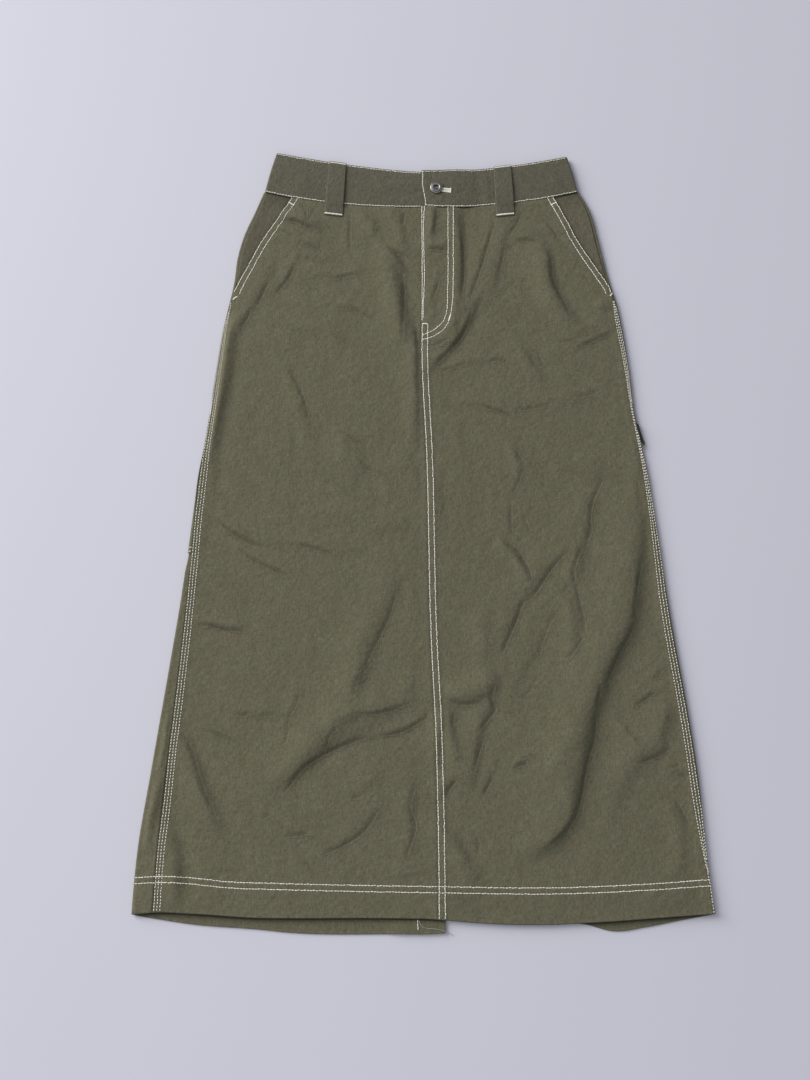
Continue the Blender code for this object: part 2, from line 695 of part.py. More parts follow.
def jeans_button(name, material):
    """The button: a turned ring with a hollow middle, as a profile round its own axis."""
    radius = BUTTON_DIAMETER / 2 * MM
    height = BUTTON_HEIGHT * MM
    profile = (
        (0.0, 0.62 * height),
        (0.26 * radius, 0.62 * height),
        (0.34 * radius, 0.92 * height),
        (0.50 * radius, height),
        (0.78 * radius, 0.92 * height),
        (0.95 * radius, 0.66 * height),
        (radius, 0.36 * height),
        (0.94 * radius, 0.08 * height),
        (0.80 * radius, 0.0),
        (0.0, 0.0),
    )
    mesh = bpy.data.meshes.new(name)
    edges = [(i, i + 1) for i in range(len(profile) - 1)]
    mesh.from_pydata([(x, 0.0, z) for x, z in profile], edges, [])
    button = new_object(name, mesh, material)
    floor = band_top_height(RIGHT, BUTTON_X) + SEAM_GAP
    button.location = (BUTTON_X * MM, BUTTON_Y * MM, floor * MM)
    screw = button.modifiers.new("Turn", "SCREW")
    screw.steps = screw.render_steps = 28
    screw.use_merge_vertices = True
    screw.merge_threshold = 0.00005
    screw.use_smooth_shade = True
    return button


def clear_scene():
    """Removes what the scene holds."""
    for thing in list(bpy.data.objects):
        bpy.data.objects.remove(thing, do_unlink=True)


def build():
    """Makes every piece of the skirt."""
    twill = (0.115, 0.105, 0.068)
    cloths = {
        name: new_material(name, tuple(value * shade for value in twill), 0.92)
        for name, shade in (
            ("front_twill", 1.0), ("back_twill", 0.9), ("band_twill", 1.06),
            ("pocket_twill", 0.96), ("strap_twill", 1.1),
        )
    }
    metal = new_material("dark_metal", (0.28, 0.27, 0.25), 0.35, 1.0)
    tape = new_material("zip_tape", (0.07, 0.065, 0.045), 0.85)

    front_panel("front_right", LEFT, cloths["front_twill"])
    front_panel("front_left", RIGHT, cloths["front_twill"])
    back_panel("back_right", LEFT, cloths["back_twill"])
    back_panel("back_left", RIGHT, cloths["back_twill"])
    hip_pocket("hip_pocket_right", LEFT, cloths["pocket_twill"])
    hip_pocket("hip_pocket_left", RIGHT, cloths["pocket_twill"])
    fly_zip("fly_zip", tape)
    waistband("waistband_right", LEFT, cloths["band_twill"])
    waistband("waistband_left", RIGHT, cloths["band_twill"])
    front_loop("belt_loop_front_right", LEFT, -101.0, -104.5, cloths["strap_twill"])
    front_loop("belt_loop_front_left", RIGHT, 96.5, 101.2, cloths["strap_twill"])
    back_loop("belt_loop_back_right", -128.0, cloths["strap_twill"])
    back_loop("belt_loop_back_centre", CENTRE_BACK_X, cloths["strap_twill"])
    back_loop("belt_loop_back_left", 118.0, cloths["strap_twill"])
    tool_pocket("tool_pocket", cloths["pocket_twill"])
    hammer_loop("hammer_loop", cloths["strap_twill"])
    jeans_button("button", metal)


clear_scene()
skirt = bpy.data.collections.new("cargo_utility_skirt")
bpy.context.scene.collection.children.link(skirt)
build()
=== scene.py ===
"""The dressed model of a long carpenter skirt in washed olive twill, laid flat with its front up.

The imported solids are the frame. Every cloth piece here is a thin shell on its solid's form: a grid of
points worked out with numpy from the tables below, in millimetres, with the creases of the laid cloth,
its sewn seams and its rows of contrast thread. +X is the wearer's left, +Y runs up to the waist and
+Z comes up off the ground at z = 0.
"""

from __future__ import annotations

import logging
import math
from dataclasses import dataclass, field
from enum import Enum
from typing import Callable, NamedTuple, Optional, Sequence

import bpy
import numpy as np
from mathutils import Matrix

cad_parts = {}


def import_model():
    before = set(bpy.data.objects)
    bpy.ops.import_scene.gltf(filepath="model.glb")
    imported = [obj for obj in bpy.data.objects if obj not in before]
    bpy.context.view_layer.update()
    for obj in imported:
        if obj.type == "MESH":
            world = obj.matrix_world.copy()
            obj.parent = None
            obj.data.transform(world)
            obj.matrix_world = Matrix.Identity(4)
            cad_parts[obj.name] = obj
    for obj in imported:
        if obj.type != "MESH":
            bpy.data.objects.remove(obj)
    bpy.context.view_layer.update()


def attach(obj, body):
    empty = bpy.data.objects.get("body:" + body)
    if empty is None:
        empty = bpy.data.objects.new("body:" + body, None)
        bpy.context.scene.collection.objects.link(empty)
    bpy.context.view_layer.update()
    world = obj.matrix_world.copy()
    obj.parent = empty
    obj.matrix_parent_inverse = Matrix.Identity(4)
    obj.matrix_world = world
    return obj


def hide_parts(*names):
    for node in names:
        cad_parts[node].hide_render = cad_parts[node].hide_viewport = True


LOG = logging.getLogger("skirt")
Array = np.ndarray
MM = 0.001
Colour = tuple[float, float, float]
Socket = bpy.types.NodeSocket
Material = bpy.types.Material
Mesh = bpy.types.Mesh
Piece = bpy.types.Object


class Side(Enum):
    """The wearer's two sides, with the sign of X on each."""

    RIGHT = -1
    LEFT = 1

    @property
    def word(self) -> str:
        """The side's name in lower case."""
        return self.name.lower()


# ---------------------------------------------------------------------------------- the cut and lie


def table(kind: type, rows: Sequence[Sequence[float]]) -> tuple:
    """Rows of numbers as records with named columns."""
    return tuple(kind(*row) for row in rows)


def lined(kind: type, rows: Sequence[Sequence[float]]) -> tuple:
    """Records that end in a line, from rows of their other columns and then x and y of each point."""
    first = len(kind._fields) - 1
    return tuple(kind(*row[:first], tuple(zip(row[first::2], row[first + 1::2]))) for row in rows)


class Station(NamedTuple):
    """The outline of the laid skirt at one height: side folds, side seams and heights on top."""

    y: float
    right: float
    left: float
    right_seam: float
    left_seam: float
    base: float
    right_top: float
    left_top: float


STATIONS = table(Station, (
    (410, -189.6, 189.8, 3.5, 3.5, 7.0, 7.0, 7.0),
    (380, -201.3, 204.4, 3.5, 3.5, 7.0, 7.0, 7.0),
    (350, -213.6, 211.6, 3.5, 3.5, 7.0, 6.9, 6.9),
    (320, -221.2, 218.0, 3.5, 3.4, 6.8, 6.6, 6.6),
    (290, -224.4, 225.0, 3.4, 3.0, 6.3, 6.1, 6.1),
    (265, -229.0, 231.9, 2.4, 2.6, 6.0, 5.5, 5.6),
    (230, -236.0, 238.3, 1.6, 2.4, 5.6, 4.9, 5.2),
    (180, -242.6, 244.4, 1.5, 1.8, 5.4, 4.9, 5.2),
    (130, -248.2, 248.6, 1.5, 1.6, 5.3, 5.0, 5.3),
    (90, -253.3, 255.0, 1.6, 1.5, 5.2, 5.0, 5.4),
    (50, -259.8, 261.9, 2.0, 1.5, 5.1, 5.0, 5.4),
    (20, -262.6, 265.7, 2.4, 1.5, 5.0, 5.0, 5.3),
    (-35, -267.9, 272.1, 4.4, 1.6, 5.0, 5.0, 5.4),
    (-90, -273.9, 277.9, 6.9, 1.8, 5.0, 5.0, 5.5),
    (-150, -281.8, 285.7, 10.4, 2.0, 5.0, 5.0, 5.7),
    (-220, -291.4, 295.4, 14.0, 2.0, 5.0, 5.0, 5.9),
    (-290, -301.0, 303.4, 18.0, 1.8, 5.1, 5.0, 6.0),
    (-370, -311.6, 308.6, 22.5, 1.4, 5.3, 5.1, 6.1),
    (-405, -313.9, 311.3, 23.2, 1.2, 6.2, 5.3, 6.3),
    (-440, -315.3, 315.0, 23.4, 1.2, 6.2, 5.4, 6.4),
))


class Point(NamedTuple):
    """A point of a line, its height first."""

    y: float
    x: float


class Pair(NamedTuple):
    """x of a line on each side of the skirt, at one height."""

    y: float
    right: float
    left: float


class Hem(NamedTuple):
    """A point of the lower edges: the front's and the back's."""

    x: float
    front: float
    back: float


CENTRE_SEAM = table(Point, (
    (400, -0.3), (254, -0.3), (197, -0.8), (81, 4.1), (-145, 8.8), (-229, 12.8), (-379, 15.7), (-445, 15.9),
))
# The inmost of the three rows beside each side seam.
SEAM_ROWS = table(Pair, (
    (263, -227.0, 228.1), (233, -231.0, 231.4), (202, -234.2, 236.2), (173, -237.2, 240.1),
    (143, -240.0, 243.4), (114, -243.2, 247.5), (85, -246.4, 252.1), (56, -248.8, 256.0),
    (27, -251.2, 259.4), (-1, -253.6, 262.0), (-29, -255.0, 264.0), (-57, -256.8, 266.1),
    (-85, -258.5, 268.3), (-112, -260.3, 271.1), (-140, -262.4, 274.6), (-167, -264.5, 278.4),
    (-193, -266.7, 282.1), (-220, -269.1, 285.7), (-246, -271.3, 289.0), (-273, -273.4, 292.0),
    (-299, -275.6, 294.6), (-325, -277.7, 297.5), (-350, -279.8, 301.0), (-376, -281.7, 305.2),
    (-401, -282.7, 309.3), (-445, -284.0, 313.4),
))
POCKET_OPENINGS = table(Pair, (
    (412, -150.5, 155.0), (399, -157.4, 160.5), (381, -167.8, 170.0), (340, -193.7, 189.6),
    (310, -208.6, 208.0), (292, -217.9, 219.4), (283.5, -221.8, 224.6), (275, -225.0, 227.6),
))
HEMS = {
    Side.RIGHT: table(Hem, (
        (-315, -437.0, -437.6), (-290, -434.8, -441.5), (-250, -436.2, -447.2), (-176, -440.6, -452.8),
        (-150, -440.8, -455.4), (-25, -441.0, -457.3), (10, -441.8, -457.2), (24, -442.9, -456.3),
    )),
    Side.LEFT: table(Hem, (
        (-8, -441.2, -441.0), (24, -442.9, -441.6), (61, -445.8, -443.0), (142, -447.3, -445.6),
        (174, -445.8, -447.4), (205, -444.0, -454.4), (241, -441.4, -450.0), (276, -438.9, -443.4),
        (315, -436.2, -436.8),
    )),
}
# The hem's upper row of thread.
HEM_ROW = table(Point, (
    (-398.6, -316), (-397.0, -290), (-397.0, -270), (-398.6, -250), (-402.8, -207), (-403.8, -176),
    (-407.5, 8), (-408.7, 149), (-405.6, 231), (-400.1, 313),
))


class Fall(NamedTuple):
    """A line along which the cloth falls away: its drop, half its width, its reach to the crest's side
    and to the trough's side, and points of the line in x and y."""

    drop: float
    width: float
    near: float
    far: float
    line: tuple[tuple[float, float], ...]


class Crease(NamedTuple):
    """A sharp crease: how deep it is, from 0 to 1, and points of its line in x and y."""

    depth: float
    line: tuple[tuple[float, float], ...]


class Trough(NamedTuple):
    """A shallow trough of the underside, where the cloth lifts off the ground, from end to end."""

    depth: float
    width: float
    line: tuple[tuple[float, float], ...]


FALLS = lined(Fall, (
    (12, 8.2, 48, 27, 257, 12, 248, -58, 239, -116, 211, -174, 189, -231, 174, -296, 160, -344, 137, -368,
     109, -380), (3.7, 8.9, 18, 14, 145, -289, 159, -267, 171, -242),
    (5, 7.8, 22, 16, 200, 23, 184, -30, 175, -80),
    (3.9, 8.5, 22, 13, 166, -36, 136, -69, 111, -100, 100, -122, 86, -158),
    (4, 2.9, 10, 8, 94, -27, 107, -43, 120, -64), (5.2, 12, 14, 12, 164, -87, 172, -110, 169, -160),
    (2.3, 6.5, 26, 18, 138, -135, 116, -172, 99, -210), (5.4, 12, 15, 12, 76, -105, 72, -128, 72, -159),
    (11.6, 12, 20, 10, 24, -206, 46, -208, 65, -202, 85, -181),
    (4.1, 5.2, 20, 11, 87, -189, 76, -215, 65, -240, 60, -262, 56, -292),
    (0.9, 1.9, 14, 10, 70, -250, 60, -286, 54, -306), (1, 1.9, 12, 8, 84, -266, 76, -289, 64, -314),
    (4.8, 5.7, 11, 8, 21, -310, 35, -294, 56, -302), (8.1, 9.8, 11, 10, 33, -218, 33, -246, 42, -273),
    (7.2, 9.2, 15, 13, 14, -336, 32, -354, 48, -379, 62, -396),
    (3.3, 10, 9, 7, 99, -284, 117, -271, 136, -274), (1.7, 1.9, 9, 7, 234, -214, 250, -204, 266, -197),
    (0.8, 1.9, 8, 6, 262, -182, 272, -173, 281, -170), (2.6, 1.9, 8, 7, 219, -230, 232, -246, 240, -254),
    (5.8, 9.5, 18, 12, 279, -216, 266, -243, 252, -257),
    (5.5, 7.3, 16, 11, 273, -254, 257, -267, 235, -272),
    (3.7, 11.2, 26, 18, 247, -270, 229, -293, 215, -316),
    (5, 12, 12, 10, 268, -316, 282, -342, 283, -371, 276, -399),
    (1.5, 2.9, 8, 7, 271, -283, 283, -288, 293, -287), (0.6, 4.7, 20, 16, 202, -350, 208, -332, 228, -311),
    (5.1, 5.8, 30, 18, -7, -212, -45, -221, -82, -228, -107, -239),
    (6.7, 9.5, 32, 17, -72, -223, -103, -249, -128, -274, -156, -305),
    (2.7, 2.9, 20, 13, 10, -217, -12, -237, -42, -246, -74, -252),
    (4.2, 5.2, 20, 13, -56, -247, -92, -256, -122, -275, -146, -296),
    (4.1, 6.3, 28, 20, -34, -226, -68, -238, -100, -252),
    (6, 12, 30, 15, -22, -62, -37, -98, -51, -131, -63, -160, -80, -202),
    (4, 12, 18, 16, -63, -167, -72, -191, -80, -209), (3.9, 3.1, 11, 8, -259, -122, -239, -124, -201, -130),
    (5.7, 2.3, 12, 9, -240, 2, -217, -13, -182, -33), (1.9, 1.9, 14, 12, -196, -16, -174, -30, -156, -41),
    (2.1, 1.9, 12, 9, -216, -34, -184, -52, -147, -67), (4, 5.2, 11, 9, -158, -27, -130, -33, -100, -43),
    (4.9, 12, 18, 14, -120, 5, -83, 1, -55, -13, -16, -11),
    (6.4, 6.4, 24, 16, -267, -239, -250, -275, -235, -311, -216, -346),
    (8.6, 8.7, 18, 13, -276, -343, -266, -376, -263, -407, -264, -436),
    (4.5, 3.8, 16, 12, -188, -322, -172, -334, -152, -344, -125, -358),
    (2.5, 4.7, 10, 7, -152, -346, -138, -354, -121, -359),
    (2.4, 5.2, 24, 14, -48, -330, -72, -352, -91, -365, -112, -378),
    (3.1, 6, 18, 14, -9, -290, -12, -336, -14, -380), (2.1, 6.7, 18, 14, -43, -283, -58, -301, -82, -315),
    (0.8, 1.9, 15, 12, -266, -230, -241, -240, -204, -254),
    (2.1, 7.4, 11, 9, -136, -186, -144, -219, -150, -240),
    (3.7, 7.4, 10, 9, -217, -214, -198, -222, -170, -223),
    (2, 2.3, 13, 10, -251, -380, -235, -389, -210, -390), (2, 3.4, 12, 9, -31, -399, -14, -395, 3, -395),
    (7.3, 5.3, 11, 9, 48, 388, 49, 330, 48, 287, 47, 254),
    (3.2, 6.7, 18, 14, 109, 373, 100, 340, 93, 308, 81, 261),
    (1.1, 1.9, 11, 8, 85, 363, 73, 315, 62, 282, 51, 256),
    (4.8, 3.1, 24, 13, 71, 274, 57, 241, 39, 210, 24, 193, 5, 174),
    (1.4, 3.4, 8, 6, 62, 300, 55, 265, 45, 243, 30, 224, 14, 211),
    (9.7, 7.8, 20, 14, 146, 341, 153, 321, 155, 297, 161, 275, 172, 257, 187, 239),
    (3, 5.7, 11, 8, 142, 356, 156, 347, 167, 337), (3.8, 7.6, 13, 10, 108, 340, 130, 344, 150, 340),
    (2, 1.9, 9, 7, 162, 356, 176, 348, 187, 334), (1.8, 3, 13, 8, 171, 202, 194, 210, 210, 219, 230, 229),
    (3.7, 10.8, 10, 7, 166, 217, 183, 221, 199, 230, 218, 235),
    (1.7, 3.3, 9, 7, 199, 210, 212, 217, 224, 226), (4.5, 5.4, 16, 13, 120, 207, 131, 186, 146, 170),
    (1.5, 3.4, 14, 10, 13, 171, 40, 182, 74, 190, 106, 188),
    (4.2, 4.4, 14, 9, 36, 141, 61, 135, 83, 129, 109, 118),
    (3.2, 12, 14, 10, 105, 137, 137, 135, 172, 140, 202, 149), (2.9, 4.6, 11, 9, 106, 92, 111, 74, 115, 54),
    (0.7, 3.8, 18, 14, 115, 49, 124, 63, 131, 81), (1.6, 12, 18, 14, 127, 42, 134, 58, 142, 74),
    (3.6, 10.1, 20, 15, 136, 74, 155, 61, 179, 51, 205, 45), (5.2, 8.9, 9, 7, 206, 259, 218, 256, 232, 259),
    (6.5, 10.8, 9, 7, 5, 335, 19, 332, 31, 335), (5.8, 6.5, 9, 8, 16, 388, 16, 366, 13, 344),
    (1.6, 3.3, 8, 7, 21, 301, 16, 276, 4, 254), (1.3, 1.9, 8, 6, 13, 267, 16, 250, 13, 238),
    (1.2, 12, 17, 14, 211, 52, 192, 33, 167, 5),
    (9.5, 3.3, 12, 8, -168, 371, -154, 367, -142, 361, -128, 355),
    (4.2, 4, 12, 9, -157, 343, -140, 337, -124, 332), (4.5, 1.9, 9, 7, -175, 358, -165, 352, -155, 346),
    (2.7, 4.2, 14, 10, -127, 303, -108, 293, -85, 297, -69, 298),
    (1.6, 1.9, 13, 10, -155, 323, -138, 317, -110, 316), (1.1, 2.6, 11, 9, -113, 345, -96, 345, -78, 338),
    (2.8, 4.9, 12, 9, -146, 323, -155, 307, -161, 290, -175, 279),
    (2.8, 7.6, 16, 11, -171, 316, -186, 290, -198, 263, -209, 241, -216, 224),
    (12, 11.3, 20, 12, -45, 326, -34, 308, -26, 279, -22, 245, -15, 214),
    (3.9, 2.7, 12, 9, -47, 332, -33, 326, -21, 321), (6.7, 2.5, 12, 9, -44, 334, -31, 322, -20, 308),
    (3.9, 3.6, 16, 8, -10, 238, -7, 210, -6, 176, -5, 136, -5, 90),
    (1.7, 1.9, 12, 8, -9, 236, -6, 206, -5, 176), (4.1, 7.3, 13, 10, -35, 385, -24, 364, -19, 340),
    (5, 7.6, 11, 9, -72, 379, -59, 366, -52, 351), (2.9, 3.5, 18, 13, -101, 256, -76, 253, -57, 242),
    (2.9, 6.2, 16, 13, -157, 233, -133, 229, -113, 224, -91, 210),
    (4.6, 12, 16, 13, -89, 65, -88, 85, -89, 104), (3.2, 9, 18, 14, -68, 50, -69, 69, -72, 89),
    (1.1, 5.2, 16, 12, -49, 55, -32, 55, -14, 59),
    (3.7, 8.3, 12, 9, -162, 190, -147, 155, -139, 131, -128, 97),
    (0.6, 4.9, 16, 13, -211, 116, -196, 128, -185, 145), (0.7, 3.2, 13, 10, -149, 106, -151, 81, -152, 65),
    (1.1, 1.9, 14, 12, -17, 80, -7, 56, -3, 30), (3.2, 8.5, 16, 12, 23, 62, 20, 29, 27, -12),
    (1, 2.4, 14, 11, 46, 119, 46, 96, 48, 75), (2.3, 12, 13, 10, 192, 16, 176, 1, 169, -20),
    (0.6, 4.5, 12, 9, -231, -82, -215, -92, -196, -92), (0.7, 1.9, 16, 12, -9, -60, -8, -90, -5, -121),
    (0.6, 1.9, 12, 10, -97, -392, -89, -374, -86, -359), (4.3, 4.1, 13, 11, 23, -218, 19, -249, 17, -279),
    (1, 3.4, 12, 9, -11, -150, -10, -180, -19, -203),
    (2.4, 2.6, 10, 7, 166, -318, 161, -336, 148, -354, 131, -368, 120, -374),
))
EDGE_FALLS = lined(Fall, (
    (12, 12, 9, 12, -211, 246, -223, 225, -226, 200, -229, 170, -237, 120, -244, 64),
    (1.9, 9.8, 7, 10, -234, 99, -242, 40, -247, 0, -254, -60),
    (3.4, 12, 12, 9, 249, 91, 249, 61, 249, 30, 248, 0),
    (4.3, 6.1, 9, 9, -278, -245, -285, -290, -296, -352),
    (6.6, 12, 7, 8, -291, -300, -298, -340, -299, -373),
    (3.6, 1.9, 7, 7, -282, -225, -284, -256, -289, -283),
))
CREASES = lined(Crease, (
    (1, -161, 368, -149, 365, -139, 360, -130, 357), (0.6, -146, 392, -141, 383, -137, 366),
    (0.5, -128, 384, -137, 366), (0.7, -173, 355, -163, 352, -156, 346),
    (0.7, -142, 339, -132, 334, -122, 330), (0.5, -148, 319, -131, 318, -118, 317),
    (0.6, -124, 298, -102, 294, -83, 298, -71, 297),
    (0.8, -153, 309, -156, 299, -161, 291, -168, 281, -176, 273),
    (0.9, -181, 291, -187, 279, -192, 268, -195, 258), (0.8, -202, 258, -206, 246, -214, 232),
    (0.6, -86, 379, -86, 363, -86, 345, -85, 325), (0.5, -100, 257, -83, 255, -69, 248, -50, 238),
    (0.5, -109, 224, -97, 218, -87, 211), (0.9, -23, 299, -21, 284, -21, 261, -22, 236, -23, 216),
    (0.8, -43, 332, -28, 326, -18, 321), (0.8, -20, 379, -22, 361), (0.9, 7, 330, 19, 330, 31, 328),
    (0.8, 19, 379, 17, 363, 15, 348), (0.7, 20, 291, 18, 279, 13, 268),
    (0.5, -154, 178, -145, 161, -138, 144, -134, 127, -132, 117),
    (0.9, 89, 366, 82, 343, 75, 319, 66, 291, 59, 271),
    (1, 60, 256, 55, 238, 48, 221, 33, 203, 14, 183),
    (0.9, 48, 379, 48, 355, 50, 335, 51, 317, 50, 291, 47, 266), (0.8, 122, 381, 114, 361, 105, 348),
    (0.5, 101, 340, 96, 312, 91, 291), (0.8, 114, 340, 128, 342, 140, 339),
    (0.7, 148, 371, 157, 358, 165, 346),
    (0.9, 148, 332, 155, 319, 155, 304, 157, 289, 165, 273, 174, 253, 179, 243),
    (0.5, 190, 296, 201, 289), (0.9, 184, 207, 196, 211, 208, 218, 223, 224), (0.5, 161, 214, 180, 214),
    (0.4, 199, 228, 211, 232), (0.6, 136, 206, 140, 193, 144, 183), (0.7, 80, 189, 91, 191, 101, 187),
    (0.9, 65, 137, 79, 132, 93, 127, 106, 122), (0.5, 105, 130, 126, 131, 147, 137, 159, 142),
    (0.5, 173, 145, 201, 150, 209, 155), (0.5, 19, 175, 33, 181, 52, 186),
    (0.7, 10, 207, 24, 212, 33, 216), (0.9, -235, -2, -220, -15, -204, -25, -181, -35),
    (0.8, -210, -35, -190, -50, -173, -58, -153, -68),
    (0.8, -141, -31, -126, -34, -112, -38, -101, -41), (0.4, -85, -38, -64, -40),
    (0.9, -254, -124, -242, -123, -224, -128, -201, -130),
    (0.6, -29, -83, -33, -99, -39, -117, -48, -136, -59, -158, -68, -176, -75, -185),
    (0.5, -93, 103, -79, 94, -63, 86), (0.4, -74, 69, -56, 56, -37, 48), (0.4, -251, -90, -234, -89),
    (0.7, 111, 79, 114, 69), (0.7, 116, 57, 110, 40, 104, 29), (0.6, 102, 21, 102, -2, 102, -23),
    (0.9, 93, -30, 107, -35, 116, -49, 122, -63, 124, -76), (0.4, 116, 17, 119, -2, 123, -16),
    (0.9, 167, -38, 154, -51, 143, -65, 131, -83, 120, -97),
    (1, 115, -95, 108, -113, 101, -129, 94, -145, 89, -156),
    (0.8, 211, 50, 204, 36, 197, 21, 193, 3, 193, -16, 188, -28),
    (0.9, 184, -32, 177, -46, 172, -63, 174, -79), (0.7, 174, -72, 178, -95, 182, -117, 183, -131),
    (0.6, 183, -133, 174, -147, 163, -163), (0.4, 167, -79, 156, -90),
    (0.5, 151, -108, 141, -127, 134, -145, 129, -163),
    (0.9, 251, -46, 246, -67, 243, -86, 240, -104, 240, -120),
    (1, 240, -120, 231, -138, 219, -158, 212, -174, 203, -192), (0.7, 269, -172, 263, -182, 256, -182),
    (0.8, -210, -223, -199, -224, -190, -221), (0.4, -181, -225, -161, -223),
    (0.6, -245, -240, -231, -244, -218, -250, -204, -254),
    (0.6, -263, -247, -257, -258, -250, -277, -243, -299, -233, -320, -222, -346),
    (0.5, -135, -194, -141, -212, -149, -229, -151, -251, -156, -262),
    (0.6, -59, -169, -70, -180, -77, -198), (0.5, -55, -184, -77, -193),
    (0.9, -81, -221, -59, -223, -37, -219, -14, -210),
    (0.7, -92, -236, -103, -247, -107, -260, -114, -268),
    (1, -59, -247, -74, -252, -89, -258, -103, -264, -116, -271, -131, -281, -144, -297, -153, -309),
    (1, -48, -246, -30, -244, -17, -239, -3, -231, 8, -225), (0.7, -175, -336, -165, -331),
    (0.7, -152, -355, -139, -354, -123, -351), (0.6, -80, -314, -67, -313),
    (0.7, -47, -324, -56, -339, -67, -352, -84, -363, -108, -374),
    (0.5, -8, -299, -14, -324, -8, -344, -14, -365, -19, -380), (0.3, -184, -363, -182, -388),
    (0.4, -129, -380, -116, -396), (0.4, -78, -271, -70, -268),
    (0.9, 24, -205, 37, -210, 50, -212, 64, -210),
    (0.9, 81, -189, 77, -207, 81, -216, 72, -229, 63, -240), (0.8, 67, -251, 61, -268, 57, -286),
    (0.9, 78, -290, 72, -301, 66, -312), (0.9, 100, -282, 109, -278, 117, -277),
    (0.5, 118, -268, 129, -275), (0.7, 35, -220, 33, -238), (0.8, 37, -295, 29, -305, 25, -313),
    (0.9, 199, -189, 196, -203, 193, -218),
    (1, 195, -212, 192, -227, 191, -247, 184, -268, 178, -290, 174, -312, 167, -333, 153, -352, 140,
     -363, 125, -372),
    (0.9, 236, -214, 246, -208, 260, -198), (0.7, 270, -229, 276, -225),
    (0.8, 237, -277, 252, -272, 273, -261), (0.6, 270, -281, 283, -280), (0.6, 280, -289, 289, -292),
    (0.7, 277, -316, 285, -331, 290, -342), (0.5, 51, -350, 60, -358, 60, -375),
    (0.4, 129, -180, 121, -196, 110, -205), (0.4, 90, -223, 106, -221),
))
BACK_TROUGHS = lined(Trough, (
    (0.9, 14, -210, 210, -60, 150), (0.8, 13, -60, 60, -120, -110), (1.0, 16, -230, -150, -110, -250),
    (0.8, 12, -70, -260, -130, -400), (0.9, 14, 60, 250, 150, 160), (1.0, 15, 200, 10, 90, -90),
    (0.8, 12, 60, -120, 110, -280), (1.0, 15, 250, -230, 150, -330),
))


def smooth(keys: Array, values: Array, at: Array) -> Array:
    """Reads values between their keys, on a cubic whose slopes are those between each key's neighbours.

    Args:
        keys: Where the values stand, rising.
        values: The values.
        at: Where to read them.

    Returns:
        The value at each place, held at the ends.
    """
    slopes = np.gradient(values, keys)
    place = np.clip(np.asarray(at, float), keys[0], keys[-1])
    index = np.clip(np.searchsorted(keys, place) - 1, 0, len(keys) - 2)
    span = keys[index + 1] - keys[index]
    t = (place - keys[index]) / span
    start = values[index] * (1 + 2 * t) * (1 - t) ** 2 + slopes[index] * span * t * (1 - t) ** 2
    end = values[index + 1] * t**2 * (3 - 2 * t) + slopes[index + 1] * span * t**2 * (t - 1)
    return start + end


def smooth_table(rows: Sequence[NamedTuple], key: str, name: str, at: Array) -> Array:
    """Reads one column of a table by another, as smooth does, with the rows in any order.

    Args:
        rows: The table.
        key: The column to look in.
        name: The column to read.
        at: Where to read it.

    Returns:
        The column's values there.
    """
    keys, values = (np.array([getattr(row, column) for row in rows], float) for column in (key, name))
    order = np.argsort(keys)
    return smooth(keys[order], values[order], at)


def step_up(value: Array, low: float, high: float) -> Array:
    """0 below low, 1 above high and a soft S between them."""
    t = np.clip((np.asarray(value, float) - low) / (high - low), 0.0, 1.0)
    return t * t * (3 - 2 * t)


def bell(value: Array, width: float) -> Array:
    """1 at zero, falling off as a bell of this width."""
    return np.exp(-((np.asarray(value, float) / width) ** 2))


def fade_out(share: Array) -> Array:
    """1 in the middle of a line and 0 at its ends, as a parabola of the share of the way along."""
    return np.clip(4 * share * (1 - share), 0.0, 1.0)


def unit(vectors: Array) -> Array:
    """Vectors brought to a length of 1."""
    return vectors / np.maximum(np.linalg.norm(vectors, axis=-1, keepdims=True), 1e-9)


def joined(*columns: Array) -> Array:
    """Coordinates as points: brought to one shape and put side by side on a last axis."""
    return np.stack(np.broadcast_arrays(*columns), -1)


def lengths_along(points: Array) -> Array:
    """Distance of each corner of a broken line from its start, along the line."""
    return np.concatenate([[0.0], np.cumsum(np.linalg.norm(np.diff(points, axis=0), axis=1))])


def resample(points: Array, places: Array) -> Array:
    """Points of a line at distances along it, read straight between its corners."""
    return joined(*(np.interp(places, lengths_along(points), column) for column in points.T))


def smooth_line(corners: Sequence[tuple[float, float]], step: float) -> Array:
    """A smooth line through points, as x and y about every step of its length.

    Args:
        corners: The points.
        step: The spacing.

    Returns:
        The line.
    """
    points = np.array(corners, float)
    along = lengths_along(points)
    places = np.linspace(0.0, along[-1], int(along[-1] / step) + 2)
    return joined(*(smooth(along, column, places) for column in points.T))


def flattened(x: Array, y: Array) -> tuple[Array, Array, tuple[int, ...]]:
    """Points as two flat arrays, and the shape that they had together."""
    x, y = np.broadcast_arrays(np.asarray(x, float), np.asarray(y, float))
    return x.ravel(), y.ravel(), x.shape


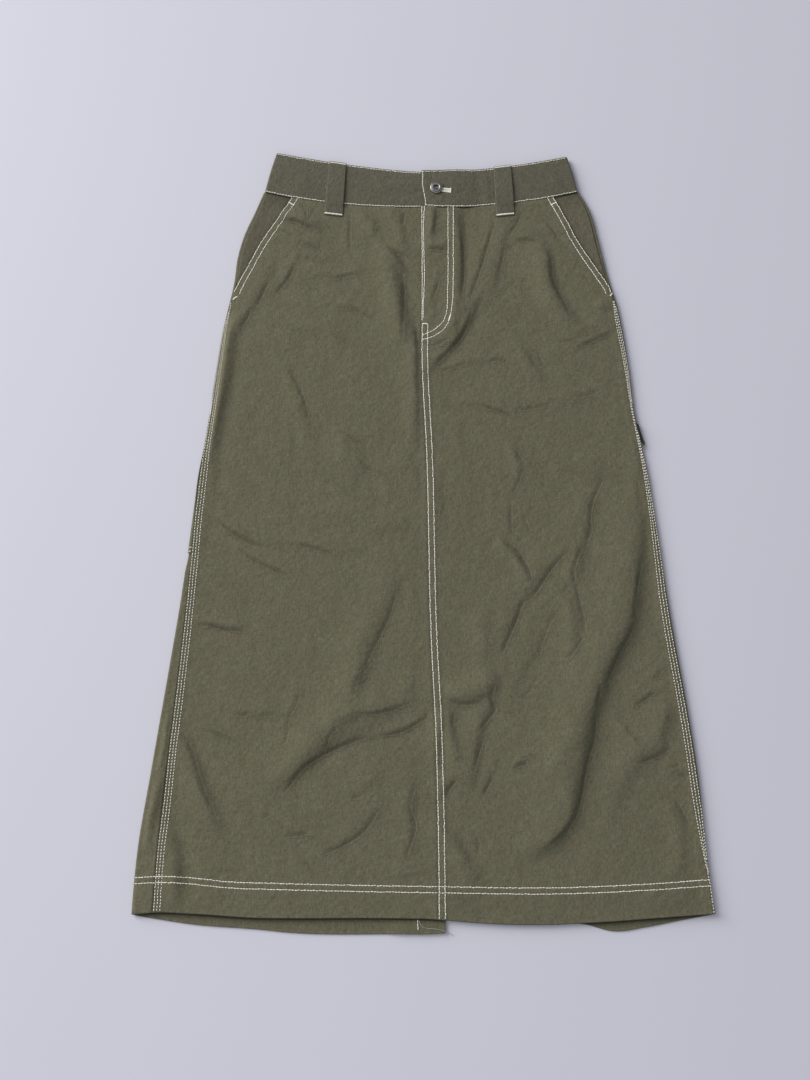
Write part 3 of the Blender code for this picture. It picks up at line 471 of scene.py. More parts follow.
def near_line(x: Array, y: Array, line: Array, reach: float, soft: float = 0.05,
              steady: bool = False) -> tuple[Array, Array, Array, Array]:
    """Distance of each point to a broken line, found on the nearest of its straight parts.

    Args:
        x: The points' x, flat.
        y: The points' y, flat.
        line: The line's corners, as rows of x and y.
        reach: Points farther than this from the line's box are left out.
        soft: Parts that are this much farther than the nearest count for a third as much.
        steady: Whether the positive side is chosen once, from the line's ends, and not at each part.

    Returns:
        The indices of the points in reach, their distance, the same with a sign that is positive
        on the side away from the upper left, and their share of the way along the line.
    """
    low, high = line.min(axis=0) - reach, line.max(axis=0) + reach
    inside = np.flatnonzero((x > low[0]) & (x < high[0]) & (y > low[1]) & (y < high[1]))
    run_x, run_y = np.diff(line, axis=0).T
    length = np.hypot(run_x, run_y)
    away_x, away_y = x[inside, None] - line[:-1, 0], y[inside, None] - line[:-1, 1]
    t = np.clip((away_x * run_x + away_y * run_y) / length**2, 0.0, 1.0)
    gap_x, gap_y = away_x - t * run_x, away_y - t * run_y
    distance = np.hypot(gap_x, gap_y)
    weight = np.exp((distance.min(axis=1, keepdims=True) - distance) / soft)
    weight /= weight.sum(axis=1, keepdims=True)
    normal_x, normal_y = -run_y / length, run_x / length
    lean = normal_x - 0.8 * normal_y
    if steady:
        lean = (lean * length).sum()
    signed = (gap_x * normal_x + gap_y * normal_y) * np.where(lean > 0, 1.0, -1.0)
    along = lengths_along(line)
    share = (along[:-1] + t * length) / along[-1]
    blend = lambda values: (values * weight).sum(axis=1)
    return inside, blend(distance), blend(signed), blend(share)


class Lattice:
    """Smooth random waves: a lattice of seeded random heights, blended between its knots."""

    def __init__(self, seed: int) -> None:
        """Draws the lattice's random heights."""
        self.size = 256
        self.knots = np.random.default_rng(seed).uniform(-1.0, 1.0, (self.size, self.size))

    def at(self, x: Array, y: Array, cell_x: float, cell_y: float) -> Array:
        """The lattice's height at points, with knots this many millimetres apart, as cubic S blends.

        Args:
            x: Where to work it out.
            y: The same.
            cell_x: The spacing of the knots along x.
            cell_y: Along y.

        Returns:
            The height.
        """
        column, row = np.broadcast_arrays(x / cell_x + 100.0, y / cell_y + 100.0)
        i, j = np.floor(column).astype(int), np.floor(row).astype(int)
        s, t = column - i, row - j
        s, t = s * s * (3 - 2 * s), t * t * (3 - 2 * t)
        knot = lambda a, b: self.knots[(i + a) % self.size, (j + b) % self.size]
        near = knot(0, 0) * (1 - s) + knot(1, 0) * s
        return near * (1 - t) + (knot(0, 1) * (1 - s) + knot(1, 1) * s) * t


@dataclass
class Lie:
    """How the skirt lies: its outline, seams and the height of its cloth, all in millimetres."""

    band_base: float = 1.8
    band_top: float = 7.5
    waist_half: float = 190.0
    band_corner_right: float = 176.7
    band_corner_left: float = 177.9
    band_centre_y: float = 432.0
    band_rise: float = 24.0
    seam_centre_y: float = 384.9
    seam_rise: float = 20.5
    overlap_lift: float = 2.7
    overlap_rise: float = 1.0
    overlap_sole: float = 34.0
    overlap_fade: float = 72.0
    hem_step: float = 0.5
    fly_width: float = 37.5
    fly_bottom: float = 224.0
    fly_lift: float = 2.1
    pocket_drop: float = 1.65
    pocket_corner: float = 275.0
    tool_top: float = 125.0
    tool_bottom: float = -40.0
    tool_lift: float = 1.4
    hammer_lift: float = 1.7
    vent_top: float = -150.0
    vent_edge: float = 23.6
    vent_lift: float = 2.1
    vent_ramp: float = 16.0
    centre_back: float = -8.0
    waves: Lattice = field(default_factory=lambda: Lattice(7))
    crest_share: float = 0.27
    least: float = 2.7

    def edge(self, side: Side, y: Array) -> Array:
        """x of the side fold."""
        return smooth_table(STATIONS, "y", side.word, y)

    def seam_out(self, side: Side, y: Array) -> Array:
        """How far out from the middle the side seam lies."""
        return side.value * self.edge(side, y) - smooth_table(STATIONS, "y", side.word + "_seam", y)

    def edge_top(self, side: Side, y: Array) -> Array:
        """Height of the front at the side fold."""
        return smooth_table(STATIONS, "y", side.word + "_top", y)

    def centre(self, y: Array) -> Array:
        """x of the fly's edge and the centre front seam."""
        return smooth_table(CENTRE_SEAM, "y", "x", y)

    def opening(self, side: Side, y: Array) -> Array:
        """x of the slanted edge of a hip pocket."""
        return smooth_table(POCKET_OPENINGS, "y", side.word, y)

    def inmost_row(self, side: Side, y: Array) -> Array:
        """x of the inmost of the rows beside the side seam."""
        return smooth_table(SEAM_ROWS, "y", side.word, y)

    def hem(self, side: Side, layer: str, x: Array) -> Array:
        """y of the lower edge of the front or the back."""
        return smooth_table(HEMS[side], "x", layer, x)

    def hem_line(self, x: Array) -> Array:
        """y of the hem's upper row of thread."""
        return smooth_table(HEM_ROW, "x", "y", x)

    def overlap(self, side: Side, x: Array) -> Array:
        """1 where the waistband's end lies over the other end, 0 away from it."""
        return (side is Side.LEFT) * (1 - step_up(x, self.overlap_sole, self.overlap_fade))

    def corner(self, side: Side) -> float:
        """How far out the waistband's upper corner lies."""
        return self.band_corner_right if side is Side.RIGHT else self.band_corner_left

    def band_bottom_y(self, side: Side, x: Array) -> Array:
        """y of the seam under the waistband: a dip in the middle that rises to the side folds.

        Args:
            side: The wearer's side.
            x: Where to work it out.

        Returns:
            The seam's y.
        """
        rise = self.seam_rise * (np.abs(x) / self.waist_half) ** 2.3
        dip = 2.0 * bell(np.asarray(x, float) - 38.0, 30.0) * (side is Side.LEFT)
        return self.seam_centre_y + rise - dip + self.overlap_rise * self.overlap(side, x)

    def band_top_y(self, side: Side, x: Array) -> Array:
        """y of the waistband's upper edge: a rise to both corners, a little less on the left.

        Args:
            side: The wearer's side.
            x: Where to work it out.

        Returns:
            The edge's y.
        """
        out = np.asarray(x, float) / self.band_corner_right
        rise = self.band_rise * np.abs(out) ** np.where(out > 0, 1.75, 1.45)
        tilt = np.where(out > 0, -3.8, -1.2) * out
        return self.band_centre_y + rise + tilt + self.overlap_rise * self.overlap(side, x)

    def folds(self, x: Array, y: Array, falls: Sequence[Fall]) -> Array:
        """Height of folds: along each line the cloth drops from a crest on its lit side to a trough.

        Across the line the drop is an S, and on both sides the cloth comes back to level as a bell.
        It fades out at the line's ends.

        Args:
            x: Where to work it out.
            y: The same.
            falls: The folds.

        Returns:
            The height that they add.
        """
        flat_x, flat_y, shape = flattened(x, y)
        total = np.zeros_like(flat_x)
        for fall in falls:
            reach = 2.4 * max(fall.near, fall.far)
            line = smooth_line(fall.line, max(3.0, fall.width))
            inside, distance, signed, share = near_line(flat_x, flat_y, line, reach, 3.0)
            side = np.clip(0.5 + 0.5 * signed / (fall.width + 0.2 * distance), 0.0, 1.0)
            back = bell(distance, fall.near + (fall.far - fall.near) * side)
            slope = signed / np.sqrt(fall.width**2 + signed**2)
            height = fall.drop * np.sqrt(fade_out(share)) * (self.crest_share - 0.5 * slope)
            total[inside] += height * back
        return total.reshape(shape)

    def creases(self, x: Array, y: Array) -> tuple[Array, Array]:
        """Where the sharp creases run.

        Args:
            x: Where to work it out.
            y: The same.

        Returns:
            The distance to the crease that shows most at each point, positive on the side away from
            the upper left, and the depth of that crease, which fades at its ends and where another
            crease shows as much.
        """
        flat_x, flat_y, shape = flattened(x, y)
        gap, depth, best = np.full_like(flat_x, -12.0), np.zeros_like(flat_x), np.zeros_like(flat_x)
        for crease in CREASES:
            line = smooth_line(crease.line, 3.0)
            inside, distance, signed, share = near_line(flat_x, flat_y, line, 10.0, steady=True)
            strength = crease.depth * np.sqrt(fade_out(share))
            strength *= step_up(signed, -9.0, -6.0) * (1 - step_up(signed, 2.4, 4.8))
            shown = strength * step_up(signed, -6.0, -0.3) * (1 - step_up(signed, 0.3, 3.0))
            shown = (shown + 0.02 * strength) * bell(distance, 7.0)
            before = best[inside]
            better = shown > before
            rival = np.minimum(shown, before) / np.maximum(np.maximum(shown, before), 1e-6)
            depth[inside] *= np.where(better, 1.0, 1 - rival**4)
            chosen = inside[better]
            best[chosen], gap[chosen] = shown[better], signed[better]
            depth[chosen] = (strength * (1 - rival**4))[better]
        return gap.reshape(shape), depth.reshape(shape)

    def undulation(self, x: Array, y: Array) -> Array:
        """Low waves of washed cloth: three sizes of smooth random wave, longest down the skirt.

        Args:
            x: Where to work it out.
            y: The same.

        Returns:
            The height that they add.
        """
        waves = self.waves
        rough = 1.3 + 0.6 * step_up(x, 20.0, 120.0) * (1 - step_up(y, -200.0, -100.0))
        return (
            0.42 * waves.at(x, y, 34.0, 52.0)
            + 0.17 * rough * waves.at(y + 900.0, x, 18.0, 13.0)
            + 0.07 * rough * waves.at(x + 0.4 * y, y + 400.0, 6.5, 9.0)
        )

    def front(self, x: Array, y: Array) -> Array:
        """Height of the front's upper face, with its folds settling down to the side folds.

        Args:
            x: Where to work it out.
            y: The same.

        Returns:
            The height.
        """
        base = smooth_table(STATIONS, "y", "base", y)
        top = 1 - step_up(y, 350.0, 392.0)
        low = 0.35 + 0.65 * step_up(y, -440.0, -400.0)
        inner, outer = self.folds(x, y, FALLS) * low, self.folds(x, y, EDGE_FALLS) * low
        calm = base + self.undulation(x, y) * (0.3 + 0.7 * top)
        for side in Side:
            inward = side.value * (self.edge(side, y) - x)
            inner, outer = inner * step_up(inward, 3.0, 18.0), outer * step_up(inward, 3.0, 9.0)
            calm = self.edge_top(side, y) + (calm - self.edge_top(side, y)) * step_up(inward, 3.0, 22.0)
        height = calm + inner + outer
        under = self.least + 0.8 * np.exp((np.minimum(height - self.least, 0.8) - 0.8) / 0.8)
        height = np.where(height < self.least + 0.8, under, height)
        return height + self.hem_step * (1 - step_up(y - self.hem_line(x), -1.5, 1.5))

    def fly(self, x: Array, y: Array) -> Array:
        """How far the left front is raised where it lies over the zip."""
        across = 1 - step_up(x - self.centre(y), self.fly_width, self.fly_width + 9)
        return self.fly_lift * across * step_up(y, self.fly_bottom - 20, self.fly_bottom + 4)

    def plateau(self, x: Array, y: Array, x_span: tuple[float, float], y_span: tuple[float, float],
                ramps: tuple[float, float]) -> Array:
        """1 inside a rectangle and 0 outside it, with soft sides this wide in x and y."""
        sides = ((x, x_span, ramps[0]), (y, y_span, ramps[1]))
        return math.prod(step_up(at, low - ramp, low) * (1 - step_up(at, high, high + ramp))
                         for at, (low, high), ramp in sides)

    def back(self, x: Array, y: Array) -> Array:
        """Height of the back's lower face, raised over the loops and the pocket under it.

        Args:
            x: Where to work it out.
            y: The same.

        Returns:
            The height.
        """
        loops = self.band_base * step_up(y, 296, 340)
        tool_span = (self.tool_bottom - 30, self.tool_top + 30)
        tool = self.tool_lift * self.plateau(x, y, (-400, -130), tool_span, (50, 30))
        strap = self.hammer_lift * self.plateau(x, y, (88, 400), (54, 156), (50, 30))
        return np.maximum(np.maximum(loops, tool), strap)

    def under(self, side: Side, x: Array, y: Array) -> Array:
        """The same with its shallow troughs and, on the right, the rise of the vent's flap.

        Args:
            side: The wearer's side.
            x: Where to work it out.
            y: The same.

        Returns:
            The height.
        """
        flat_x, flat_y, shape = flattened(x, y)
        total = np.zeros_like(flat_x)
        for trough in BACK_TROUGHS:
            line = np.linspace(*trough.line, 9)
            inside, distance, _, share = near_line(flat_x, flat_y, line, 2.6 * trough.width)
            total[inside] += trough.depth * fade_out(share) * bell(distance, trough.width)
        down = 1 - step_up(y, self.vent_top + 8, self.vent_top + 48)
        flap = self.vent_edge - 3 * self.vent_ramp - 0.5
        vent = self.vent_lift * down * step_up(x, flap - self.vent_ramp, flap) * (side is Side.RIGHT)
        return self.back(x, y) + total.reshape(shape) + vent

    def patch(self, side: Side, y: Array) -> Array:
        """How far the right back panel is drawn in under the tool pocket."""
        along = self.plateau(0, y, (-1, 1), (self.tool_bottom, self.tool_top), (1, 26))
        return self.tool_lift * along * (side is Side.RIGHT)

    def panel_edge(self, side: Side, y: Array) -> Array:
        """x of a back panel's own fold, inside the pocket that wraps it."""
        return self.edge(side, y) - side.value * self.patch(side, y)

    def sunk(self, side: Side, y: Array) -> Array:
        """How far a back panel's top strip lies under the front, by the pocket's piece and patch."""
        pocket = step_up(y, self.pocket_corner - 12, self.pocket_corner)
        return self.pocket_drop * pocket + self.patch(side, y)

    def fold_radius(self, side: Side, y: Array) -> Array:
        """Half the height of the tube at its side fold."""
        low = self.back(self.panel_edge(side, y), y)
        return (self.edge_top(side, y) - self.sunk(side, y) - low) / 2

    def wrap(self, side: Side, y: Array, along: Array) -> tuple[Array, Array]:
        """x and z on a back panel's outer face, at a distance along it from its side fold.

        Positive distances run inward on top and negative ones inward on the ground, and the fold is
        a half circle as tall as the tube is there.

        Args:
            side: The wearer's side.
            y: How far up the skirt.
            along: Distance round the fold.

        Returns:
            x and z.
        """
        edge = self.panel_edge(side, y)
        radius = self.fold_radius(side, y)
        quarter = radius * math.pi / 2
        angle = np.clip(along / quarter, -1, 1) * math.pi / 2
        run = np.maximum(np.abs(along) - quarter, 0)
        x = edge - side.value * (radius * (1 - np.cos(angle)) + run)
        arc = self.back(edge, y) + radius * (1 + np.sin(angle))
        top, under = self.front(x, y) - self.sunk(side, y), self.under(side, x, y)
        return x, np.where(along > quarter, top, np.where(along < -quarter, under, arc))

    def band_height(self, side: Side, x: Array) -> Array:
        """Height of the waistband's upper face, raised where its end lies over the other."""
        return self.band_top + self.overlap_lift * self.overlap(side, x)


# ------------------------------------------------------------------------------------- the thread


class Thread(Enum):
    """The ways in which the contrast thread is sewn."""

    TOPSTITCH = "topstitch"
    SEAM = "seam"
    TACK = "tack"


@dataclass(frozen=True)
class StitchKind:
    """One kind of stitch: its pitch, how much of the pitch shows, its thickness and its width."""

    pitch: float
    share: float
    radius: float
    width: float = 0.0


STITCHES = {
    Thread.TOPSTITCH: StitchKind(pitch=3.3, share=1.0, radius=0.47),
    Thread.SEAM: StitchKind(pitch=3.3, share=0.68, radius=0.47),
    Thread.TACK: StitchKind(pitch=0.52, share=1.0, radius=0.30, width=1.7),
}
STITCH_RINGS = (0.07, 0.32, 0.68, 0.93)
STITCH_SIDES = 6
STITCH_POINTS = len(STITCH_RINGS) * STITCH_SIDES + 2
GAUGE = 6.3
THREAD_LIFT = 0.22
UP, DOWN = (0.0, 0.0, 1.0), (0.0, 0.0, -1.0)


@dataclass
class Run:
    """A row of stitches along a line on the cloth, with the cloth's normals or the same one all along."""

    points: Array
    normals: Array
    kind: Thread = Thread.TOPSTITCH
    width: Optional[float] = None

    def __post_init__(self) -> None:
        """Gives every point its normal."""
        self.normals = np.broadcast_to(self.normals, self.points.shape)


def tube_faces(rings: int, around: int) -> Array:
    """Triangles of a closed tube of rings, whose two end points are numbered after them.

    They look outward where the rings turn left-handed along the tube.

    Args:
        rings: How many rings.
        around: The points in each.

    Returns:
        The triangles.
    """
    index = np.arange(rings * around).reshape(rings, around)
    after = np.roll(index, -1, axis=1)
    last = np.full(around, rings * around)
    parts = [(index[:-1], index[1:], after[:-1]), (after[:-1], index[1:], after[1:]),
             (last, index[0], after[0]), (last + 1, after[-1], index[-1])]
    return np.concatenate([np.stack(part, -1).reshape(-1, 3) for part in parts])


def capsules(start: Array, end: Array, normal: Array, radius: Array) -> tuple[Array, Array]:
    """Many small round-ended threads, each lying from start to end and arched along its normal.

    A thread is four rings of points between two end points. The rings' radius follows a round end,
    and their centres rise along the normal as a half wave.

    Args:
        start: Where each begins.
        end: Where each ends.
        normal: The cloth's unit normal at each.
        radius: The radius of each.

    Returns:
        The points and the faces, as triangles.
    """
    count, run = len(start), end - start
    across = unit(np.cross(normal, unit(run)))
    share = np.array(STITCH_RINGS)
    swell = np.array([0.74, 1.0, 1.0, 0.74])
    turn = np.linspace(0.0, 2 * math.pi, STITCH_SIDES + 1)[:-1]
    lift = 0.9 * radius[:, None] * np.sin(math.pi * share)
    centres = start[:, None] + run[:, None] * share[:, None] + normal[:, None] * lift[..., None]
    ring = np.cos(turn)[:, None] * across[:, None] + 0.85 * np.sin(turn)[:, None] * normal[:, None]
    rings = centres[:, :, None] + ring[:, None] * (radius[:, None] * swell)[..., None, None]
    points = np.concatenate([rings.reshape(count, -1, 3), start[:, None], end[:, None]], axis=1)
    faces = tube_faces(len(share), STITCH_SIDES)[:, ::-1] + STITCH_POINTS * np.arange(count)[:, None, None]
    return points.reshape(-1, 3), faces.reshape(-1, 3)


def sewn(run: Run, rng: np.random.Generator) -> tuple[Array, Array, Array]:
    """Lays the stitches of one row.

    A topstitch or seam stitch lies along the line. A tack's stitches lie across it, side by side.

    Args:
        run: The row.
        rng: The source of the small unevenness of hand-guided sewing.

    Returns:
        Points, faces and a shade for each point.
    """
    kind = STITCHES[run.kind]
    length = lengths_along(run.points)[-1]
    count = max(1, int(round(length / kind.pitch)))
    pitch = length / count
    middle = (np.arange(count) + 0.5) * pitch + rng.normal(0.0, 0.05 * pitch, count)
    if run.kind is Thread.TACK:
        normal = np.broadcast_to(run.normals[0], (count, 3))
        centre = resample(run.points, middle)
        ahead = unit(resample(run.points, middle + 0.2) - resample(run.points, middle - 0.2))
        lean = 0.12 * pitch * rng.normal(0.0, 1.0, (count, 1)) * ahead
        width = (run.width or kind.width) * (1 + 0.06 * rng.normal(0.0, 1.0, (count, 1)))
        half = 0.5 * width * unit(np.cross(normal, ahead))
        start, end = centre - half - lean, centre + half + lean
    else:
        half = 0.5 * kind.share * pitch
        start, end = resample(run.points, middle - half), resample(run.points, middle + half)
        places = np.linspace(0.0, 1.0, len(run.normals))
        normal = unit(joined(*(np.interp(middle / length, places, column) for column in run.normals.T)))
        wander = rng.normal(0.0, 0.05, (count, 1)) * np.cross(normal, end - start)
        start, end = start + wander, end + wander
    let_in = 0.25 * kind.radius * normal
    radius = kind.radius * (1 + 0.07 * rng.normal(0.0, 1.0, count))
    points, faces = capsules(start - let_in, end - let_in, normal, radius)
    return points, faces, np.repeat(rng.uniform(0.0, 1.0, count), STITCH_POINTS)


# --------------------------------------------------------------------------------- the materials


@dataclass(frozen=True)
class ClothFinish:
    """Washed cotton twill."""

    name: str
    colour: Colour
    faded: Colour
    deep: Colour
    roughness: float = 0.88
    sheen: float = 0.12
    weave_height: float = 0.00012
    crumple_height: float = 0.0016
    crease_height: float = 0.0008
    # How far the painted shade in the creases darkens the colour.
    crease_shade: float = 0.3


@dataclass(frozen=True)
class ThreadFinish:
    """Off-white sewing thread."""

    name: str
    light: Colour
    grey: Colour
    roughness: float = 0.6


@dataclass(frozen=True)
class MetalFinish:
    """Dark burnished metal."""

    name: str
    light: Colour
    dark: Colour
    roughness: float = 0.38


@dataclass(frozen=True)
class FloorFinish:
    """The plain pale floor."""

    name: str
    colour: Colour
    roughness: float = 0.55


TWILL = ClothFinish("washed_twill", (0.152, 0.142, 0.090), (0.224, 0.212, 0.145), (0.109, 0.104, 0.064))
BAND_TWILL = ClothFinish("band_twill", (0.126, 0.119, 0.085), (0.201, 0.191, 0.144), (0.089, 0.085, 0.058))
INNER_TWILL = ClothFinish("pocket_twill", (0.142, 0.130, 0.088),
                          (0.207, 0.193, 0.138), (0.102, 0.095, 0.061))
OFF_WHITE = ThreadFinish("off_white_thread", (0.92, 0.90, 0.80), (0.76, 0.73, 0.63))
LOOSE_THREAD = ThreadFinish("loose_thread", (0.52, 0.50, 0.45), (0.40, 0.39, 0.35))
BURNISHED = MetalFinish("burnished_metal", (0.42, 0.41, 0.39), (0.07, 0.066, 0.06))
ZIP_TAPE = ClothFinish("zip_tape", (0.07, 0.065, 0.045), (0.10, 0.09, 0.07), (0.05, 0.045, 0.03))
PALE_FLOOR = FloorFinish("pale_floor", (0.614, 0.609, 0.684))


class Nodes:
    """A thin helper that adds and joins shader nodes."""

    def __init__(self, tree: bpy.types.NodeTree) -> None:
        """Keeps the tree."""
        self.tree = tree

    def feed(self, target: Socket, value: object) -> None:
        """Links a socket to an input, or sets the input's value.

        Args:
            target: The input.
            value: A socket or a value.
        """
        if isinstance(value, Socket):
            self.tree.links.new(value, target)
        else:
            target.default_value = value

    def add(self, kind: str, values: Optional[dict[str, object]] = None,
            **settings: object) -> bpy.types.Node:
        """Adds a node, sets its properties, feeds its inputs with sockets or values and returns it.

        Args:
            kind: Its type, without the prefix.
            values: What its inputs get, by name.
            **settings: Its properties.

        Returns:
            The node.
        """
        node = self.tree.nodes.new("ShaderNode" + kind)
        for name, value in settings.items():
            setattr(node, name, value)
        for name, value in (values or {}).items():
            self.feed(node.inputs[name], value)
        return node

    def maths(self, operation: str, *terms: object) -> Socket:
        """A Math node on sockets or numbers, and its result.

        Args:
            operation: The node's operation.
            *terms: What its inputs get.

        Returns:
            The result's socket.
        """
        node = self.add("Math", operation=operation)
        for target, value in zip(node.inputs, (*terms, 0.0)):
            self.feed(target, value)
        return node.outputs[0]

    def mix(self, share: Socket, first: object, second: object) -> Socket:
        """A colour Mix node on sockets or colours, and its result.

        Args:
            share: How much of the second shows.
            first: The colour at 0.
            second: The colour at 1.

        Returns:
            The result's socket.
        """
        node = self.add("Mix", data_type="RGBA", clamp_factor=True)
        for index, value in ((0, share), (6, first), (7, second)):
            self.feed(node.inputs[index], value if isinstance(value, Socket) else (*value, 1.0))
        return node.outputs[2]

    def attribute(self, name: str) -> Socket:
        """A number stored on the mesh's points."""
        return self.add("Attribute", attribute_name=name).outputs["Fac"]

    def noise(self, place: Socket, scale: float, detail: float, roughness: float = 0.5) -> Socket:
        """Noise of a scale at a position."""
        values = {"Vector": place, "Scale": scale, "Detail": detail, "Roughness": roughness}
        return self.add("TexNoise", values).outputs["Fac"]

    def wave(self, place: Socket, direction: str, scale: float, distortion: float, detail: float = 2.0,
             detail_scale: float = 1.0) -> Socket:
        """Straight bands across a direction, bent a little."""
        values = {"Vector": place, "Scale": scale, "Distortion": distortion, "Detail": detail,
                  "Detail Scale": detail_scale}
        return self.add("TexWave", values, wave_type="BANDS", bands_direction=direction).outputs["Fac"]

    def bump(self, height: Socket, strength: float, distance: float, **over: Socket) -> Socket:
        """The normal of a relief, laid over the one that is given as Normal."""
        values = {"Height": height, "Strength": strength, "Distance": distance, **over}
        return self.add("Bump", values).outputs["Normal"]


def new_group(name: str, outputs: Sequence[str]) -> tuple[Nodes, Socket, Sequence[Socket]]:
    """Starts a shader node group that turns a position into values.

    Args:
        name: The group's name.
        outputs: The values' names.

    Returns:
        A helper on its tree, the position, and the sockets to be fed with the values.
    """
    tree = bpy.data.node_groups.new(name, "ShaderNodeTree")
    tree.interface.new_socket("Vector", in_out="INPUT", socket_type="NodeSocketVector")
    for title in outputs:
        tree.interface.new_socket(title, in_out="OUTPUT", socket_type="NodeSocketFloat")
    place = tree.nodes.new("NodeGroupInput").outputs["Vector"]
    return Nodes(tree), place, tree.nodes.new("NodeGroupOutput").inputs


def twill_group() -> bpy.types.NodeTree:
    """The twill weave: steep diagonal ribs cut by finer weft, uneven as spun yarn is.

    Returns:
        A group that turns a position in metres into a height and a rib mask.
    """
    nodes, place, result = new_group("twill_weave", ["Height", "Rib"])
    turned = nodes.add("Mapping", {"Vector": place, "Rotation": (0.0, 0.0, math.radians(27.0))})
    rib = nodes.wave(turned.outputs["Vector"], "X", 370.0, 1.2, 1.0, 2.5)
    weft = nodes.wave(place, "Y", 620.0, 1.0, 1.0, 2.0)
    slub = nodes.noise(place, 900.0, 2.0, 0.6)
    body = nodes.maths("MULTIPLY_ADD", weft, 0.25, nodes.maths("MULTIPLY", rib, 0.6))
    nodes.feed(result["Height"], nodes.maths("MULTIPLY_ADD", slub, 0.35, body))
    nodes.feed(result["Rib"], rib)
    return nodes.tree


def wash_group() -> bpy.types.NodeTree:
    """The uneven fade of garment-washed cloth: clouds of three sizes, yarn streaks and crumpling.

    Returns:
        A group that turns a position in metres into a fade, a depth, a browner or greener tint, the
        streaks of single yarns, and the height of the smallest crumples.
    """
    nodes, place, result = new_group("wash", ["Fade", "Deep", "Tint", "Yarn", "Crumple"])

    def cloud(scale: float, detail: float, low: float, high: float,
              stretch: tuple[float, float, float] = (1.0, 1.0, 1.0)) -> Socket:
        """Noise of this scale, stretched, and spread over its middle range.

        Args:
            scale: Its scale.
            detail: Its detail.
            low: What becomes 0.
            high: What becomes 1.
            stretch: Its scale along each axis.

        Returns:
            The result's socket.
        """
        turned = nodes.add("Mapping", {"Vector": place, "Scale": stretch})
        noise = nodes.noise(turned.outputs["Vector"], scale, detail, 0.62)
        span = nodes.add("MapRange", {"Value": noise, "From Min": low, "From Max": high})
        return span.outputs["Result"]

    small, middle, large = (cloud(210.0, 3.0, 0.36, 0.66), cloud(46.0, 3.0, 0.38, 0.66),
                            cloud(9.0, 3.0, 0.38, 0.68))
    fade = nodes.maths("MULTIPLY_ADD", middle, 0.38, nodes.maths("MULTIPLY", small, 0.34))
    nodes.feed(result["Fade"], nodes.maths("MULTIPLY_ADD", large, 0.28, fade))
    nodes.feed(result["Deep"], nodes.maths("MULTIPLY", nodes.maths("SUBTRACT", 1.0, middle), large))
    nodes.feed(result["Tint"], cloud(70.0, 2.0, 0.36, 0.64))
    warp = cloud(1.0, 2.0, 0.32, 0.68, (600.0, 190.0, 1.0))
    weft = cloud(1.0, 2.0, 0.32, 0.68, (210.0, 540.0, 1.0))
    yarn = nodes.maths("MULTIPLY_ADD", warp, 0.6, nodes.maths("MULTIPLY", weft, 0.4))
    nodes.feed(result["Yarn"], yarn)
    nodes.feed(result["Crumple"], cloud(105.0, 4.0, 0.25, 0.75))
    return nodes.tree


